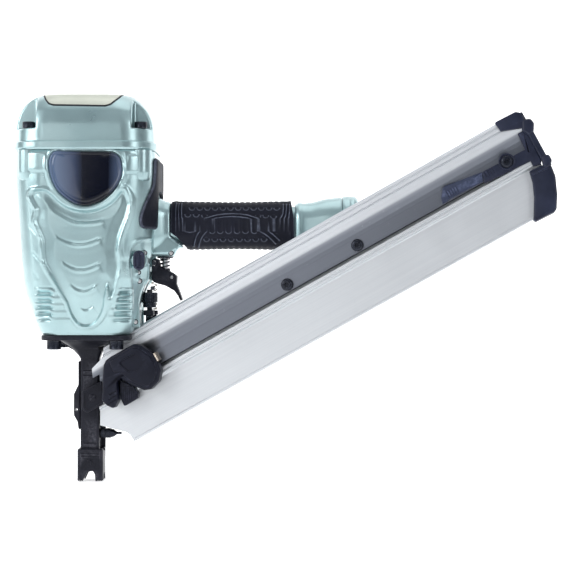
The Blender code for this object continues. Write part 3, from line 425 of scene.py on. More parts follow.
def sdf(u, v, pts):
    """Signed distance to a closed outline, positive inside."""
    d, _, _ = seg_dist(u, v, pts, closed=True)
    return np.where(inside(u, v, pts), d, -d)


def step(x, a, b):
    t = np.clip((x - a) / (b - a), 0, 1)
    return t * t * (3 - 2 * t)


def bump(x, w):
    return np.exp(-(x / w) ** 2)


def spline(points, n=8, closed=False):
    """Catmull-Rom through points, for flowing outlines."""
    P = [np.array(p, float) for p in points]
    m = len(P)
    out = []
    for i in range(m if closed else m - 1):
        p0 = P[(i - 1) % m] if closed or i > 0 else P[0]
        p1, p2 = P[i], P[(i + 1) % m]
        p3 = P[(i + 2) % m] if closed or i + 2 < m else P[-1]
        for k in range(n):
            t = k / n
            out.append(tuple(0.5 * ((2 * p1) + (p2 - p0) * t + (2 * p0 - 5 * p1 + 4 * p2 - p3) * t * t
                                    + (3 * p1 - p0 - 3 * p2 + p3) * t ** 3)))
    if not closed:
        out.append(tuple(P[-1]))
    return out


# ============================================================ materials


class Mat:
    """A small builder for node materials. Coordinates are the object's own, in metres."""

    def __init__(self, name, metallic=0.0, coat=0.0, coat_rough=0.1, ior=1.5, spec=0.5, aniso=0.0):
        self.m = bpy.data.materials.new(name)
        self.m.use_nodes = True
        self.t = self.m.node_tree
        self.b = self.t.nodes["Principled BSDF"]
        self.b.inputs["Metallic"].default_value = metallic
        self.b.inputs["Coat Weight"].default_value = coat
        self.b.inputs["Coat Roughness"].default_value = coat_rough
        self.b.inputs["IOR"].default_value = ior
        self.b.inputs["Specular IOR Level"].default_value = spec
        self.b.inputs["Anisotropic"].default_value = aniso
        self.coord = self.t.nodes.new("ShaderNodeTexCoord").outputs["Object"]
        self.height = None

    def node(self, kind, **inputs):
        n = self.t.nodes.new(kind)
        for k, v in inputs.items():
            self.set(n.inputs[k.replace("_", " ")], v)
        return n

    def set(self, socket, value):
        if isinstance(value, bpy.types.NodeSocket):
            self.t.links.new(value, socket)
        else:
            socket.default_value = value

    def mapped(self, scale, rotation=(0, 0, 0)):
        n = self.t.nodes.new("ShaderNodeMapping")
        self.t.links.new(self.coord, n.inputs["Vector"])
        n.inputs["Scale"].default_value = scale if hasattr(scale, "__len__") else (scale,) * 3
        n.inputs["Rotation"].default_value = rotation
        return n.outputs["Vector"]

    def noise(self, scale, detail=3.0, rough=0.5, stretch=None, rotation=(0, 0, 0)):
        n = self.t.nodes.new("ShaderNodeTexNoise")
        self.t.links.new(self.mapped(stretch or (1, 1, 1), rotation), n.inputs["Vector"])
        n.inputs["Scale"].default_value = scale
        n.inputs["Detail"].default_value = detail
        n.inputs["Roughness"].default_value = rough
        return n.outputs["Fac"]

    def voronoi(self, scale, feature="F1"):
        n = self.t.nodes.new("ShaderNodeTexVoronoi")
        n.feature = feature
        self.t.links.new(self.coord, n.inputs["Vector"])
        n.inputs["Scale"].default_value = scale
        return n.outputs["Distance"]

    def ramp(self, fac, *stops):
        n = self.t.nodes.new("ShaderNodeValToRGB")
        self.t.links.new(fac, n.inputs["Fac"])
        e = n.color_ramp.elements
        while len(e) < len(stops):
            e.new(0.5)
        for el, (pos, col) in zip(e, stops):
            el.position = pos
            el.color = (*col, 1.0) if hasattr(col, "__len__") else (col, col, col, 1.0)
        return n.outputs["Color"]

    def mix(self, fac, a, b, mode="MIX"):
        n = self.t.nodes.new("ShaderNodeMix")
        n.data_type = "RGBA"
        n.blend_type = mode
        for s, v in ((n.inputs[0], fac), (n.inputs[6], a), (n.inputs[7], b)):
            if isinstance(v, bpy.types.NodeSocket):
                self.t.links.new(v, s)
            elif hasattr(v, "__len__"):
                s.default_value = (*v, 1.0) if len(v) == 3 else v
            else:
                s.default_value = v
        return n.outputs[2]

    def math(self, op, a, b=0.0, clamp=False):
        n = self.t.nodes.new("ShaderNodeMath")
        n.operation = op
        n.use_clamp = clamp
        for s, v in ((n.inputs[0], a), (n.inputs[1], b)):
            if isinstance(v, bpy.types.NodeSocket):
                self.t.links.new(v, s)
            else:
                s.default_value = v
        return n.outputs[0]

    def edges(self, lo, hi):
        """Mask from curvature: 1 on convex edges. Used for wear, for painted edge highlights and, turned round, for
        painted shade in creases.
        """
        g = self.t.nodes.new("ShaderNodeNewGeometry")
        return self.ramp(g.outputs["Pointiness"], (lo, 0.0), (hi, 1.0))

    def relief(self, height, distance, strength=1.0):
        n = self.t.nodes.new("ShaderNodeBump")
        n.inputs["Strength"].default_value = strength
        n.inputs["Distance"].default_value = distance
        self.t.links.new(height, n.inputs["Height"])
        if self.height is not None:
            self.t.links.new(self.height, n.inputs["Normal"])
        self.height = n.outputs["Normal"]
        self.t.links.new(self.height, self.b.inputs["Normal"])

    def colour(self, v):
        self.set(self.b.inputs["Base Color"], v)

    def rough(self, v):
        self.set(self.b.inputs["Roughness"], v)


def paint(name, lo, hi, metallic=0.55):
    """Metallic enamel on a casting: flake, slight orange peel, cloudy tone, worn edges, and painted shade darkening its
    creases.
    """
    k = Mat(name, metallic=metallic, coat=0.6, coat_rough=0.08, ior=1.5)
    cloud = k.noise(22.0, 3.0, 0.55)
    flake = k.noise(5200.0, 2.0, 0.7)
    base = k.mix(k.ramp(cloud, (0.3, 0.0), (0.72, 1.0)), lo, hi)
    base = k.mix(k.ramp(flake, (0.42, 0.0), (0.62, 0.35)), base, tuple(min(1, c * 1.22) for c in hi))
    wear = k.math("MULTIPLY", k.edges(0.535, 0.60), k.ramp(k.noise(420.0, 4.0, 0.65), (0.5, 0.0), (0.66, 0.55)))
    base = k.mix(wear, base, (0.74, 0.78, 0.78))
    # painted shade: the colour darkens to a deep teal in creases and hollows, where shade falls, broken up by noise
    crease = k.ramp(k.edges(0.41, 0.487), (0.0, 1.0), (1.0, 0.0))
    crease_shade = k.math("MULTIPLY", k.ramp(k.noise(120.0, 5.0, 0.6), (0.25, 0.45), (0.8, 1.0)), crease)
    base = k.mix(k.math("MULTIPLY", crease_shade, 0.75), base, (0.055, 0.10, 0.115))
    k.colour(base)
    k.rough(k.ramp(k.noise(60.0, 4.0, 0.6), (0.3, 0.27), (0.75, 0.38)))
    k.relief(k.noise(1500.0, 2.0, 0.5), 0.00003, 0.35)
    k.relief(k.noise(240.0, 3.0, 0.5), 0.00012, 0.22)
    return k.m


def moulded(name, lo, hi, rough=(0.38, 0.52), grain=1500.0, depth=0.00007, spec=0.5, coat=0.0):
    """Moulded plastic with a fine spark-eroded grain, and rubbed edges lightened also as a painted edge highlight."""
    k = Mat(name, spec=spec, coat=coat, coat_rough=0.2)
    base = k.mix(k.ramp(k.noise(45.0, 4.0, 0.6), (0.35, 0.0), (0.7, 1.0)), lo, hi)
    # rubbed edges, lightened both as wear and as a painted highlight along them
    rub_and_edge_highlight = k.math("MULTIPLY", k.edges(0.52, 0.60), k.ramp(k.noise(300.0, 4.0, 0.6), (0.4, 0.1), (0.65, 0.8)))
    base = k.mix(rub_and_edge_highlight, base, tuple(min(1.0, c * 2.2 + 0.02) for c in hi))
    dust = k.ramp(k.noise(900.0, 5.0, 0.7), (0.62, 0.0), (0.8, 0.12))
    base = k.mix(dust, base, (0.05, 0.055, 0.075))
    k.colour(base)
    k.rough(k.ramp(k.noise(90.0, 4.0, 0.6), (0.3, rough[0]), (0.75, rough[1])))
    k.relief(k.noise(grain, 4.0, 0.65), depth, 0.6)
    return k.m


def rubber(name, lo, hi):
    k = Mat(name, spec=0.2)
    base = k.mix(k.ramp(k.noise(30.0, 4.0, 0.6), (0.35, 0.0), (0.7, 1.0)), lo, hi)
    # rubbed edges, lightened both as wear and as a painted highlight that picks out the grip's ridges
    rub_and_edge_highlight = k.math("MULTIPLY", k.edges(0.512, 0.56), k.ramp(k.noise(260.0, 4.0, 0.6), (0.35, 0.4), (0.7, 1.0)))
    base = k.mix(rub_and_edge_highlight, base, (0.15, 0.17, 0.23))
    base = k.mix(k.ramp(k.noise(700.0, 5.0, 0.7), (0.58, 0.0), (0.85, 0.12)), base, (0.05, 0.055, 0.075))
    k.colour(base)
    k.rough(k.ramp(k.noise(70.0, 4.0, 0.6), (0.3, 0.5), (0.75, 0.68)))
    k.relief(k.voronoi(1500.0), 0.00012, 0.55)
    k.relief(k.noise(2600.0, 3.0, 0.6), 0.00005, 0.5)
    return k.m


def steel(name, lo, hi, rough=(0.3, 0.45), metallic=0.9, scratch=(1, 1, 1), scratch_scale=600.0, rot=(0, 0, 0), edge=(0.5, 0.5, 0.52),
          edge_amount=0.7, blotch=70.0, spec=0.5):
    """Metal with a directional grind or a blackened finish, bright where it rubs; the bright edges are also a painted
    highlight.
    """
    k = Mat(name, metallic=metallic, spec=spec)
    base = k.mix(k.ramp(k.noise(blotch, 5.0, 0.65), (0.3, 0.0), (0.72, 1.0)), lo, hi)
    # rubbed edges in the edge colour, standing in both for wear and for a painted highlight along them
    rub_and_edge_highlight = k.math("MULTIPLY", k.edges(0.52, 0.60), k.ramp(k.noise(380.0, 4.0, 0.65), (0.38, 0.1), (0.64, edge_amount)))
    base = k.mix(rub_and_edge_highlight, base, edge)
    streak = k.noise(scratch_scale, 4.0, 0.7, stretch=scratch, rotation=rot)
    base = k.mix(k.ramp(streak, (0.35, 0.0), (0.75, 0.22)), base, tuple(min(1, c * 1.6 + 0.02) for c in hi))
    k.colour(base)
    mixed = k.math("ADD", k.math("MULTIPLY", k.noise(55.0, 4.0, 0.6), 0.5), k.math("MULTIPLY", streak, 0.5))
    k.rough(k.ramp(mixed, (0.35, rough[0]), (0.68, rough[1])))
    k.relief(streak, 0.00004, 0.4)
    k.relief(k.noise(1700.0, 3.0, 0.6), 0.00004, 0.35)
    return k.m


def brushed(name, lo, hi, rough, along=0.006, channel=None):
    """Extruded, brushed and anodised aluminium: fine lines along the magazine, and the channel painted darker as
    painted shade, darkest just under its upper lip.
    """
    k = Mat(name, metallic=1.0, spec=0.5)
    turn = Euler((0.0, -MAG_RISE, -MAG_CANT)).to_matrix().inverted()
    m1 = k.t.nodes.new("ShaderNodeMapping")
    m1.inputs["Rotation"].default_value = turn.to_euler()
    m1.inputs["Location"].default_value = -(turn @ Vector((0, 0, MAG_TOP_Z * MM)))
    k.t.links.new(k.coord, m1.inputs["Vector"])

    def lines(scale, detail, r, stretch=along):
        n = k.t.nodes.new("ShaderNodeTexNoise")
        m2 = k.t.nodes.new("ShaderNodeMapping")
        m2.inputs["Scale"].default_value = (stretch, 1.0, 1.0)
        k.t.links.new(m1.outputs["Vector"], m2.inputs["Vector"])
        k.t.links.new(m2.outputs["Vector"], n.inputs["Vector"])
        n.inputs["Scale"].default_value = scale
        n.inputs["Detail"].default_value = detail
        n.inputs["Roughness"].default_value = r
        return n.outputs["Fac"]

    fine, broad = lines(3800.0, 2.0, 0.6), lines(900.0, 3.0, 0.6)
    cloud = k.noise(14.0, 4.0, 0.55)
    base = k.mix(k.ramp(broad, (0.3, 0.0), (0.7, 1.0)), lo, hi)
    base = k.mix(k.ramp(fine, (0.45, 0.0), (0.75, 0.12)), base, tuple(min(1, c * 1.12) for c in hi))
    base = k.mix(k.ramp(cloud, (0.45, 0.0), (0.85, 0.4)), base, tuple(c * 0.86 for c in lo))
    if channel:
        sep = k.t.nodes.new("ShaderNodeSeparateXYZ")
        k.t.links.new(m1.outputs["Vector"], sep.inputs[0])
        depth = k.math("MULTIPLY", sep.outputs["Z"], -10.0)          # 0 at the top edge, 0.43 at the foot of the channel
        mask = k.ramp(depth, (0.150, 0.0), (0.175, 0.85), (0.20, 1.0), (0.425, 1.0), (0.44, 0.0))
        # painted shade: the channel is painted much darker than the rail, and darker still just under its upper lip
        lip_shade = k.ramp(depth, (0.150, 1.0), (0.22, 1.0), (0.29, 0.0))
        tone = k.mix(k.ramp(broad, (0.3, 0.0), (0.7, 1.0)), tuple(c * 0.92 for c in channel), channel)
        tone = k.mix(lip_shade, tone, tuple(c * 0.8 for c in channel))
        base = k.mix(mask, base, tone)
    dents = k.ramp(k.noise(260.0, 4.0, 0.6), (0.66, 0.0), (0.74, 0.18))
    base = k.mix(dents, base, tuple(c * 0.7 for c in lo))
    k.colour(base)
    spread = k.ramp(k.math("ADD", k.math("MULTIPLY", fine, 0.4), k.math("MULTIPLY", k.noise(40.0, 4.0, 0.6), 0.6)),
                    (0.35, rough[0]), (0.66, rough[1]))
    if channel:
        spread = k.mix(mask, spread, k.ramp(fine, (0.3, 0.30), (0.7, 0.36)))
    k.rough(spread)
    k.relief(fine, 0.00001, 0.15)
    return k.m


# edge= is the colour of rubbed edges, which is also a painted edge highlight
M = {
    "paint": paint("green_enamel", (0.30, 0.44, 0.46), (0.40, 0.55, 0.565), metallic=0.82),
    "cover": steel("champagne_sheet", (0.44, 0.46, 0.40), (0.55, 0.57, 0.50), rough=(0.28, 0.4), metallic=0.75, scratch=(0.02, 1, 1),
                   scratch_scale=1400.0, edge=(0.85, 0.85, 0.8), edge_amount=0.4, blotch=20.0),
    "nose": steel("blackened_casting", (0.006, 0.0065, 0.011), (0.013, 0.014, 0.022), rough=(0.32, 0.46), metallic=0.25, edge=(0.09, 0.09, 0.11), spec=0.2),
    "bolt": steel("black_oxide", (0.006, 0.008, 0.014), (0.013, 0.017, 0.030), rough=(0.22, 0.34), metallic=0.6, edge=(0.26, 0.27, 0.30)),
    "steel": steel("ground_steel", (0.42, 0.42, 0.43), (0.60, 0.60, 0.61), rough=(0.22, 0.36), metallic=1.0, scratch=(1, 1, 0.05), edge=(0.75, 0.75, 0.76)),
    "spring": steel("spring_steel", (0.20, 0.16, 0.12), (0.36, 0.31, 0.25), rough=(0.22, 0.36), metallic=1.0, edge=(0.5, 0.45, 0.4)),
    "plastic": moulded("black_plastic", (0.003, 0.004, 0.011), (0.006, 0.0075, 0.018), rough=(0.36, 0.5), spec=0.2),
    "gloss_plastic": moulded("smooth_black_plastic", (0.009, 0.012, 0.028), (0.016, 0.021, 0.046), rough=(0.32, 0.44), grain=900.0, depth=0.00003, spec=0.32),
    "stopper_plastic": moulded("stopper_plastic", (0.024, 0.031, 0.062), (0.036, 0.046, 0.085), rough=(0.34, 0.46), grain=900.0, depth=0.00003, spec=0.3),
    "rubber": rubber("grip_rubber", (0.004, 0.005, 0.012), (0.008, 0.0095, 0.020)),
    # channel= is painted shade in the magazine's channel
    "rail": brushed("rail_aluminium", (0.66, 0.68, 0.71), (0.72, 0.74, 0.77), (0.50, 0.58), channel=(0.20, 0.215, 0.25)),
    "plate": brushed("channel_aluminium", (0.62, 0.64, 0.665), (0.66, 0.68, 0.70), (0.45, 0.55)),
    "felt": moulded("filter_felt", (0.42, 0.40, 0.34), (0.6, 0.58, 0.5), rough=(0.85, 0.95), grain=1200.0, depth=0.0004, spec=0.1),
    "alu": steel("turned_aluminium", (0.55, 0.56, 0.58), (0.72, 0.73, 0.75), rough=(0.22, 0.35), metallic=1.0, scratch=(0.1, 0.1, 1), edge=(0.85, 0.85, 0.86)),
    "gasket": moulded("gasket", (0.006, 0.008, 0.012), (0.02, 0.022, 0.03), rough=(0.5, 0.65)),
}


def badge_material():
    """Glossy navy lens over a printed gradient: pale blue at the front third, near black behind."""
    k = Mat("navy_lens", coat=0.35, coat_rough=0.03, ior=1.45, spec=0.35)
    sep = k.t.nodes.new("ShaderNodeSeparateXYZ")
    k.t.links.new(k.coord, sep.inputs[0])
    x = k.math("ADD", k.math("MULTIPLY", sep.outputs["X"], 14.0), 0.5)
    soft = k.math("ADD", x, k.math("MULTIPLY", k.math("SUBTRACT", k.noise(30.0, 3.0, 0.5), 0.5), 0.05))
    k.colour(k.ramp(soft, (0.0, (0.13, 0.19, 0.30)), (0.22, (0.07, 0.105, 0.185)), (0.40, (0.025, 0.038, 0.08)), (0.50, (0.002, 0.003, 0.009)),
                    (0.82, (0.002, 0.003, 0.009)), (0.93, (0.05, 0.07, 0.12)), (1.0, (0.09, 0.12, 0.19))))
    k.rough(k.ramp(k.noise(500.0, 5.0, 0.7), (0.4, 0.08), (0.8, 0.16)))
    k.relief(k.noise(900.0, 3.0, 0.5), 0.00001, 0.2)
    return k.m


M["badge"] = badge_material()


def finish(ob, mat, body="tool_body", replaces=()):
    ob.data.materials.clear()
    ob.data.materials.append(M[mat])
    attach(ob, body)
    if replaces:
        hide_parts(*replaces)
    return ob


def cad(material, *names, bevel=0.0, segments=2):
    """A CAD node kept as it is, with a finish and rounded edges."""
    for n in names:
        ob = NODES[n]
        ob.data.materials.clear()
        ob.data.materials.append(M[material])
        for p in ob.data.polygons:
            p.material_index = 0
        if bevel:
            w = ob.modifiers.new("weld", "WELD")
            w.merge_threshold = 0.00001
            b = ob.modifiers.new("edges", "BEVEL")
            b.width = bevel * MM
            b.segments = segments
            b.limit_method = "ANGLE"
            b.angle_limit = math.radians(35)
            b.harden_normals = False
    return None


# ============================================================ camera, light, floor
cam_data = bpy.data.cameras.new("camera")
cam_data.lens = 105.06
cam_data.sensor_width = 36.0
cam = link(bpy.data.objects.new("camera", cam_data))
cam.location = (0.182, -1.547, 0.1766)
cam.rotation_euler = (math.pi / 2, 0, 0)
bpy.context.scene.camera = cam


def area(name, loc, target, size, energy, colour=(1, 1, 1), size_y=None):
    d = bpy.data.lights.new(name, "AREA")
    d.energy = energy
    d.color = colour
    d.shape = "RECTANGLE"
    d.size = size
    d.size_y = size_y or size
    o = link(bpy.data.objects.new(name, d))
    o.location = loc
    o.rotation_euler = (Vector(target) - Vector(loc)).to_track_quat("-Z", "Y").to_euler()
    return o


CENTRE = (0.17, 0.0, 0.18)
area("key_softbox", (-1.6, -1.25, 0.95), CENTRE, 1.35, 22.0, size_y=1.1)
area("fill_softbox", (1.45, -1.7, 0.8), CENTRE, 0.8, 9.5, size_y=1.2)
area("top_softbox", (0.2, -0.1, 2.0), CENTRE, 1.5, 7.0)
area("front_panel", (-0.62, -2.5, 0.45), (0.2, 0, 0.15), 0.6, 3.6, size_y=1.1)
area("left_strip", (-1.9, -0.5, 0.35), (0.0, 0, 0.22), 0.25, 3.0, size_y=1.5)
area("back_left", (-1.4, 1.0, 0.9), CENTRE, 1.0, 3.0)
area("back_right", (1.8, 1.0, 0.9), CENTRE, 1.0, 3.0)

# studio surround: bright overhead and to the sides, dim behind the camera
world = bpy.data.worlds.new("studio")
world.use_nodes = True
wt = world.node_tree
wc = wt.nodes.new("ShaderNodeTexCoord")
ws = wt.nodes.new("ShaderNodeSeparateXYZ")
wt.links.new(wc.outputs["Generated"], ws.inputs[0])


def w_ramp(fac, *stops):
    n = wt.nodes.new("ShaderNodeValToRGB")
    wt.links.new(fac, n.inputs["Fac"])
    e = n.color_ramp.elements
    while len(e) < len(stops):
        e.new(0.5)
    for el, (pos, c) in zip(e, stops):
        el.position, el.color = pos, (*c, 1.0)
    return n.outputs["Color"]


def w_math(op, a, b):
    n = wt.nodes.new("ShaderNodeMath")
    n.operation = op
    for sock, val in ((n.inputs[0], a), (n.inputs[1], b)):
        if isinstance(val, bpy.types.NodeSocket):
            wt.links.new(val, sock)
        else:
            sock.default_value = val
    return n.outputs[0]


up = w_ramp(w_math("MULTIPLY_ADD", ws.outputs["Z"], 0.5), (0.0, (0.30, 0.32, 0.35)), (0.47, (0.10, 0.11, 0.13)), (0.60, (0.13, 0.14, 0.16)),
            (0.78, (0.45, 0.48, 0.52)), (1.0, (0.62, 0.64, 0.66)))
back = w_ramp(w_math("MULTIPLY_ADD", ws.outputs["Y"], 0.5), (0.0, (0.0, 0.0, 0.0)), (0.45, (0.06, 0.06, 0.06)), (0.8, (0.5, 0.5, 0.5)), (1.0, (0.6, 0.6, 0.6)))
for n in wt.nodes:
    if n.type == "MATH" and n.operation == "MULTIPLY_ADD":
        n.inputs[1].default_value = 0.5
        n.inputs[2].default_value = 0.5
mixn = wt.nodes.new("ShaderNodeMix")
mixn.data_type = "RGBA"
mixn.blend_type = "ADD"
mixn.inputs[0].default_value = 1.0
wt.links.new(up, mixn.inputs[6])
wt.links.new(back, mixn.inputs[7])
wt.links.new(mixn.outputs[2], wt.nodes["Background"].inputs["Color"])
wt.nodes["Background"].inputs["Strength"].default_value = 0.75
bpy.context.scene.world = world
bpy.context.scene.view_settings.view_transform = "Standard"

# floor that curves up into a backdrop well behind the object
rows = [(-4.0, 0.0)] + [(1.2 + 0.9 * math.sin(a), 0.9 - 0.9 * math.cos(a)) for a in np.linspace(0, math.pi / 2, 14)] + [(2.1, 5.0)]
fv, ff = [], []
for y, z in rows:
    fv += [(-5000, y * 1000, z * 1000 - 0.2), (5000, y * 1000, z * 1000 - 0.2)]
for i in range(len(rows) - 1):
    ff.append((2 * i, 2 * i + 1, 2 * i + 3, 2 * i + 2))
floor = from_arrays("floor", fv, ff, 60)
kf = Mat("pale_floor", spec=0.2)
kf.rough(0.8)
kf.b.inputs["Emission Color"].default_value = (1, 1, 1, 1)
fs = kf.t.nodes.new("ShaderNodeSeparateXYZ")
kf.t.links.new(kf.coord, fs.inputs[0])
glow = kf.ramp(kf.math("MULTIPLY_ADD", fs.outputs["Y"], 0.25), (0.0, 0.04), (0.34, 0.10), (0.40, 0.50), (0.50, 0.52), (0.62, 0.80), (1.0, 0.80))
for n in kf.t.nodes:
    if n.type == "MATH":
        n.inputs[1].default_value = 0.25
        n.inputs[2].default_value = 0.5
kf.t.links.new(glow, kf.b.inputs["Emission Strength"])
near = kf.ramp(kf.math("MULTIPLY", fs.outputs["Y"], -0.25), (0.20, 0.0), (0.34, 0.85))
kf.colour(kf.mix(near, kf.mix(kf.ramp(kf.noise(3.0, 3.0, 0.5), (0.3, 0.0), (0.7, 1.0)), (0.90, 0.90, 0.90), (0.93, 0.93, 0.93)), (0.26, 0.27, 0.29)))
floor.data.materials.append(kf.m)

# ============================================================ barrel casting
PANEL = spline([
    (30.3, 196.2), (32.4, 191.1), (40.5, 190.3), (46.7, 191.1), (52.8, 196.2), (57.9, 201.3), (65, 206.4), (75.2, 210.5), (85.4, 211.7),
    (95.6, 210.5), (105.8, 206.4), (114, 200.3), (120.1, 193.1), (123.2, 190.6), (124.7, 192.1), (128.3, 199.3), (128.8, 205.4),
    (126.2, 216.6), (122.2, 226.8), (118.1, 239.1), (116.6, 249.3), (118.1, 257.4), (118.6, 265.6), (117.1, 275.8), (114, 288),
    (109.9, 299.3), (108.8, 293), (107.4, 284), (105.6, 291), (103.8, 298.2), (103.3, 304.4), (100.7, 313.6), (95.6, 321.7),
    (89.5, 325.3), (83.4, 325.8), (77.3, 322.7), (71.1, 313.6), (67.1, 302.3), (59.9, 290.1), (52.8, 277.8), (46.7, 267.6),
    (43.6, 259.5), (43.1, 247.2), (42.6, 239.1), (38.5, 228.9), (35.9, 222.7), (35.9, 216.6), (37.5, 209.5), (34.4, 204.4), (30.8, 197.2),
], 2, closed=True)
OUTER_GROOVE = spline([
    (124.7, 187), (129.3, 192.1), (133.4, 201.3), (133.4, 208.4), (130.3, 218.7), (126.2, 229.9), (123.2, 243.1), (122.7, 255.4),
    (123.2, 264.6), (121.1, 277.8), (117.1, 292.1), (112, 303.3), (105.8, 316.6), (100.7, 323.8), (93.6, 328.9), (85.4, 329.9),
    (77.3, 327.8), (72.2, 321.7), (69.1, 313.6), (65, 301.3), (54.8, 284)], 2)
SMILES = [spline(s, 3) for s in (
    [(51.8, 209), (57.9, 213.6), (65, 217.6), (73.2, 221.2), (83.4, 222.5), (95.6, 221.7), (104, 219.5)],
    [(55.3, 236), (62, 240.1), (71.1, 243.3), (80.3, 244.2), (89.5, 242.6), (95.1, 240.6), (100, 238)],
    [(62, 261.5), (67.1, 265.6), (74.2, 268.7), (81.3, 269.7), (88.5, 268.4), (94.6, 266.1), (99, 263.5)],
    [(70.1, 284), (76.2, 289.1), (83.4, 290.9), (89.5, 289.6), (95.6, 285.5)],
    [(79.8, 307.4), (84.4, 310), (88.5, 309.5), (93.1, 306.4)])]
WINDOW = spline([
    (55.5, 150.9), (68, 151.2), (80.1, 151.4), (95, 151.6), (108.4, 151.8), (116.9, 154.2), (120.7, 159.8), (122.1, 171.2), (119.7, 180.6),
    (114, 190), (104.6, 198.5), (94.2, 203.7), (84.8, 205.6), (74.4, 203.3), (64, 196.7), (56.5, 189.1), (51.8, 179.7), (49.4, 170.2),
    (48.9, 161.7), (50.8, 155.1)], 3, closed=True)
SLASHES = [[(29.3, 225.8), (36.4, 234)], [(32.4, 252.3), (40.5, 261.5)], [(33.4, 272.7), (37.5, 278.4)]]
RIBS_LEFT = [[(30, y0), (50, y0), (53, y1), (x1, y1)] for y0, y1, x1 in (
    (289.6, 292.1, 56), (296.7, 298.8, 60), (303.9, 305.9, 63), (310.5, 313.0, 66), (317.1, 320.2, 69))]
RIBS_RIGHT = [[(x0, y), (133, y)] for y, x0 in ((289.6, 120), (296.2, 117), (303.3, 114.5), (310.5, 111.5), (317.6, 109))]
REAR_EDGE = spline([(132.5, 330), (133.5, 300), (131.5, 275), (131.5, 258), (132.5, 249), (137, 243), (145, 240.5), (156, 240)], 4)


def casting_relief(u, v):
    """Height of the barrel's cast decoration in mm at a point of the side drawing."""
    h = np.zeros(u.shape)
    d = sdf(u, v, PANEL)
    right = step(u, 78.0, 112.0)
    rim_w = 2.2 + 2.6 * right
    h += 1.3 * step(d, -rim_w - 1.8, -rim_w + 0.2) * (1 - step(d, -1.1, 0.4))
    h -= 1.9 * step(d, -0.6, 1.1) * (1 - 0.55 * step(d, 2.0, 13.0))
    g, t, _ = seg_dist(u, v, OUTER_GROOVE)
    h -= 0.8 * bump(g, 0.8) * step(t, 0.0, 0.05) * (1 - step(t, 0.92, 1.0))
    for k, s in enumerate(SMILES):
        g, t, side = seg_dist(u, v, s)
        amp = (0.25 + 0.75 * step(t, 0.05, 0.55)) * (1 - 0.9 * step(t, 0.93, 1.0)) * step(t, 0.0, 0.05)
        below = np.where(side > 0, g, -g)
        h += amp * (1.05 * bump(below - 1.5, 1.7) * (below > -0.4) - 1.0 * bump(below + 0.7, 1.0))
        # the panel swells between two ridges, like a folded lip
        h += amp * 0.35 * bump(below - 6.0, 4.0) * (below > 0)
    w = sdf(u, v, WINDOW)
    h += 2.0 * step(w, -6.4, -2.2) * (1 - step(w, -0.9, -0.2))
    for x0, x1, y0, y1 in ((27.0, 46.5, 151.5, 171.5), (126.5, 144.5, 154.5, 173.0)):
        q = np.minimum(np.minimum(u - x0, x1 - u), np.minimum(v - y0, y1 - v))
        h += 1.5 * step(q, -0.6, 1.6)
    for s in SLASHES:
        g, t, _ = seg_dist(u, v, s)
        h -= 0.7 * bump(g, 0.8)
    for s in RIBS_LEFT:
        g, t, _ = seg_dist(u, v, s)
        h += 0.95 * (1 - step(g, 0.9, 2.0)) * step(u, 33.0, 38.0) * (v > 282)
    left_zone = step(u, 34.5, 38.0) * (1 - step(u, 51.0, 53.5)) * step(v, 286.5, 289.0) * (1 - step(v, 319.5, 322.0))
    right_zone = step(u, 119.0 - (v - 290) * 0.25, 121.5 - (v - 290) * 0.25) * (1 - step(u, 129.3, 131.0)) * step(v, 286.5, 289.0) * (1 - step(v, 320.0, 322.5))
    h -= 2.4 * left_zone + 2.2 * right_zone
    for s in RIBS_LEFT + RIBS_RIGHT:
        g, t, _ = seg_dist(u, v, s)
        zone = np.maximum(left_zone, right_zone)
        h += zone * 2.3 * (1 - step(g, 1.3, 2.1))
    for s in RIBS_RIGHT:
        g, t, _ = seg_dist(u, v, s)
        h += 0.55 * (1 - step(g, 0.9, 2.0))
    # the rear lower flank steps in behind a soft edge
    g, t, side = seg_dist(u, v, REAR_EDGE)
    behind = (side > 0) & (v > 236) & (u > 120)
    inn = np.where(behind, g, -g)
    h -= 1.6 * step(inn, -0.4, 1.2) * (v > 236) * (u > 120)
    h += 0.5 * bump(inn + 1.6, 1.2) * (v > 238) * (u > 120)
    for x, y, r in ((144.5, 253, 2.0), (138.7, 273, 1.6), (140, 281, 1.6), (136, 323, 2.0)):
        h += 0.9 * (1 - step(np.hypot(u - x, v - y), r - 0.6, r + 0.5))
    return h


def barrel_rings(z_values, relief=True, flat_n=100, end_n=18, corner_n=43):
    rings, lifts, normals = [], [], []
    for z in z_values:
        x0, x1, hy, r = smooth_table(BARREL, z)
        p, n = even_loop(x0, x1, hy, r, flat_n, end_n, corner_n)
        pts = np.column_stack([p, np.full(len(p), z)])
        if relief:
            u, v = side_uv(pts)
            w = step(np.abs(n[:, 1]), 0.10, 0.42)
            h = casting_relief(u, v) * w
            # a raised keel down the front and a shallow waist either side of it
            front = step(-n[:, 0], 0.75, 0.98)
            edge = np.abs(p[:, 1])
            h += front * (1.1 * (1 - step(edge, 13.0, 16.5)) - 0.6 * bump(edge - 19.0, 2.2)) * step(z, 150.0, 158.0) * (1 - step(z, 286.0, 292.0))
            lifts.append(h)
            normals.append(n)
        rings.append(pts)
    if relief:
        # one pass of a small blur over the grid keeps the steep outlines from stepping between columns
        H = np.array(lifts)
        H = 0.5 * H + 0.25 * (np.roll(H, 1, 1) + np.roll(H, -1, 1))
        H[1:-1] = 0.5 * H[1:-1] + 0.25 * (H[:-2] + H[2:])
        for pts, n, h, z in zip(rings, normals, H, z_values):
            foot = (1 - step(z, 134.4, 136.6)) * 1.2 + step(z, 298.2, 299.6) * 0.8
            pts[:, :2] += n * (h - foot)[:, None]
    return rings


def oval(x, zc, hz, hy, n=14, k=0.92):
    return [(x, y, zc + z) for y, z in rounded_loop(-hy, hy, -hz, hz, min(hy, hz) * k, n)]


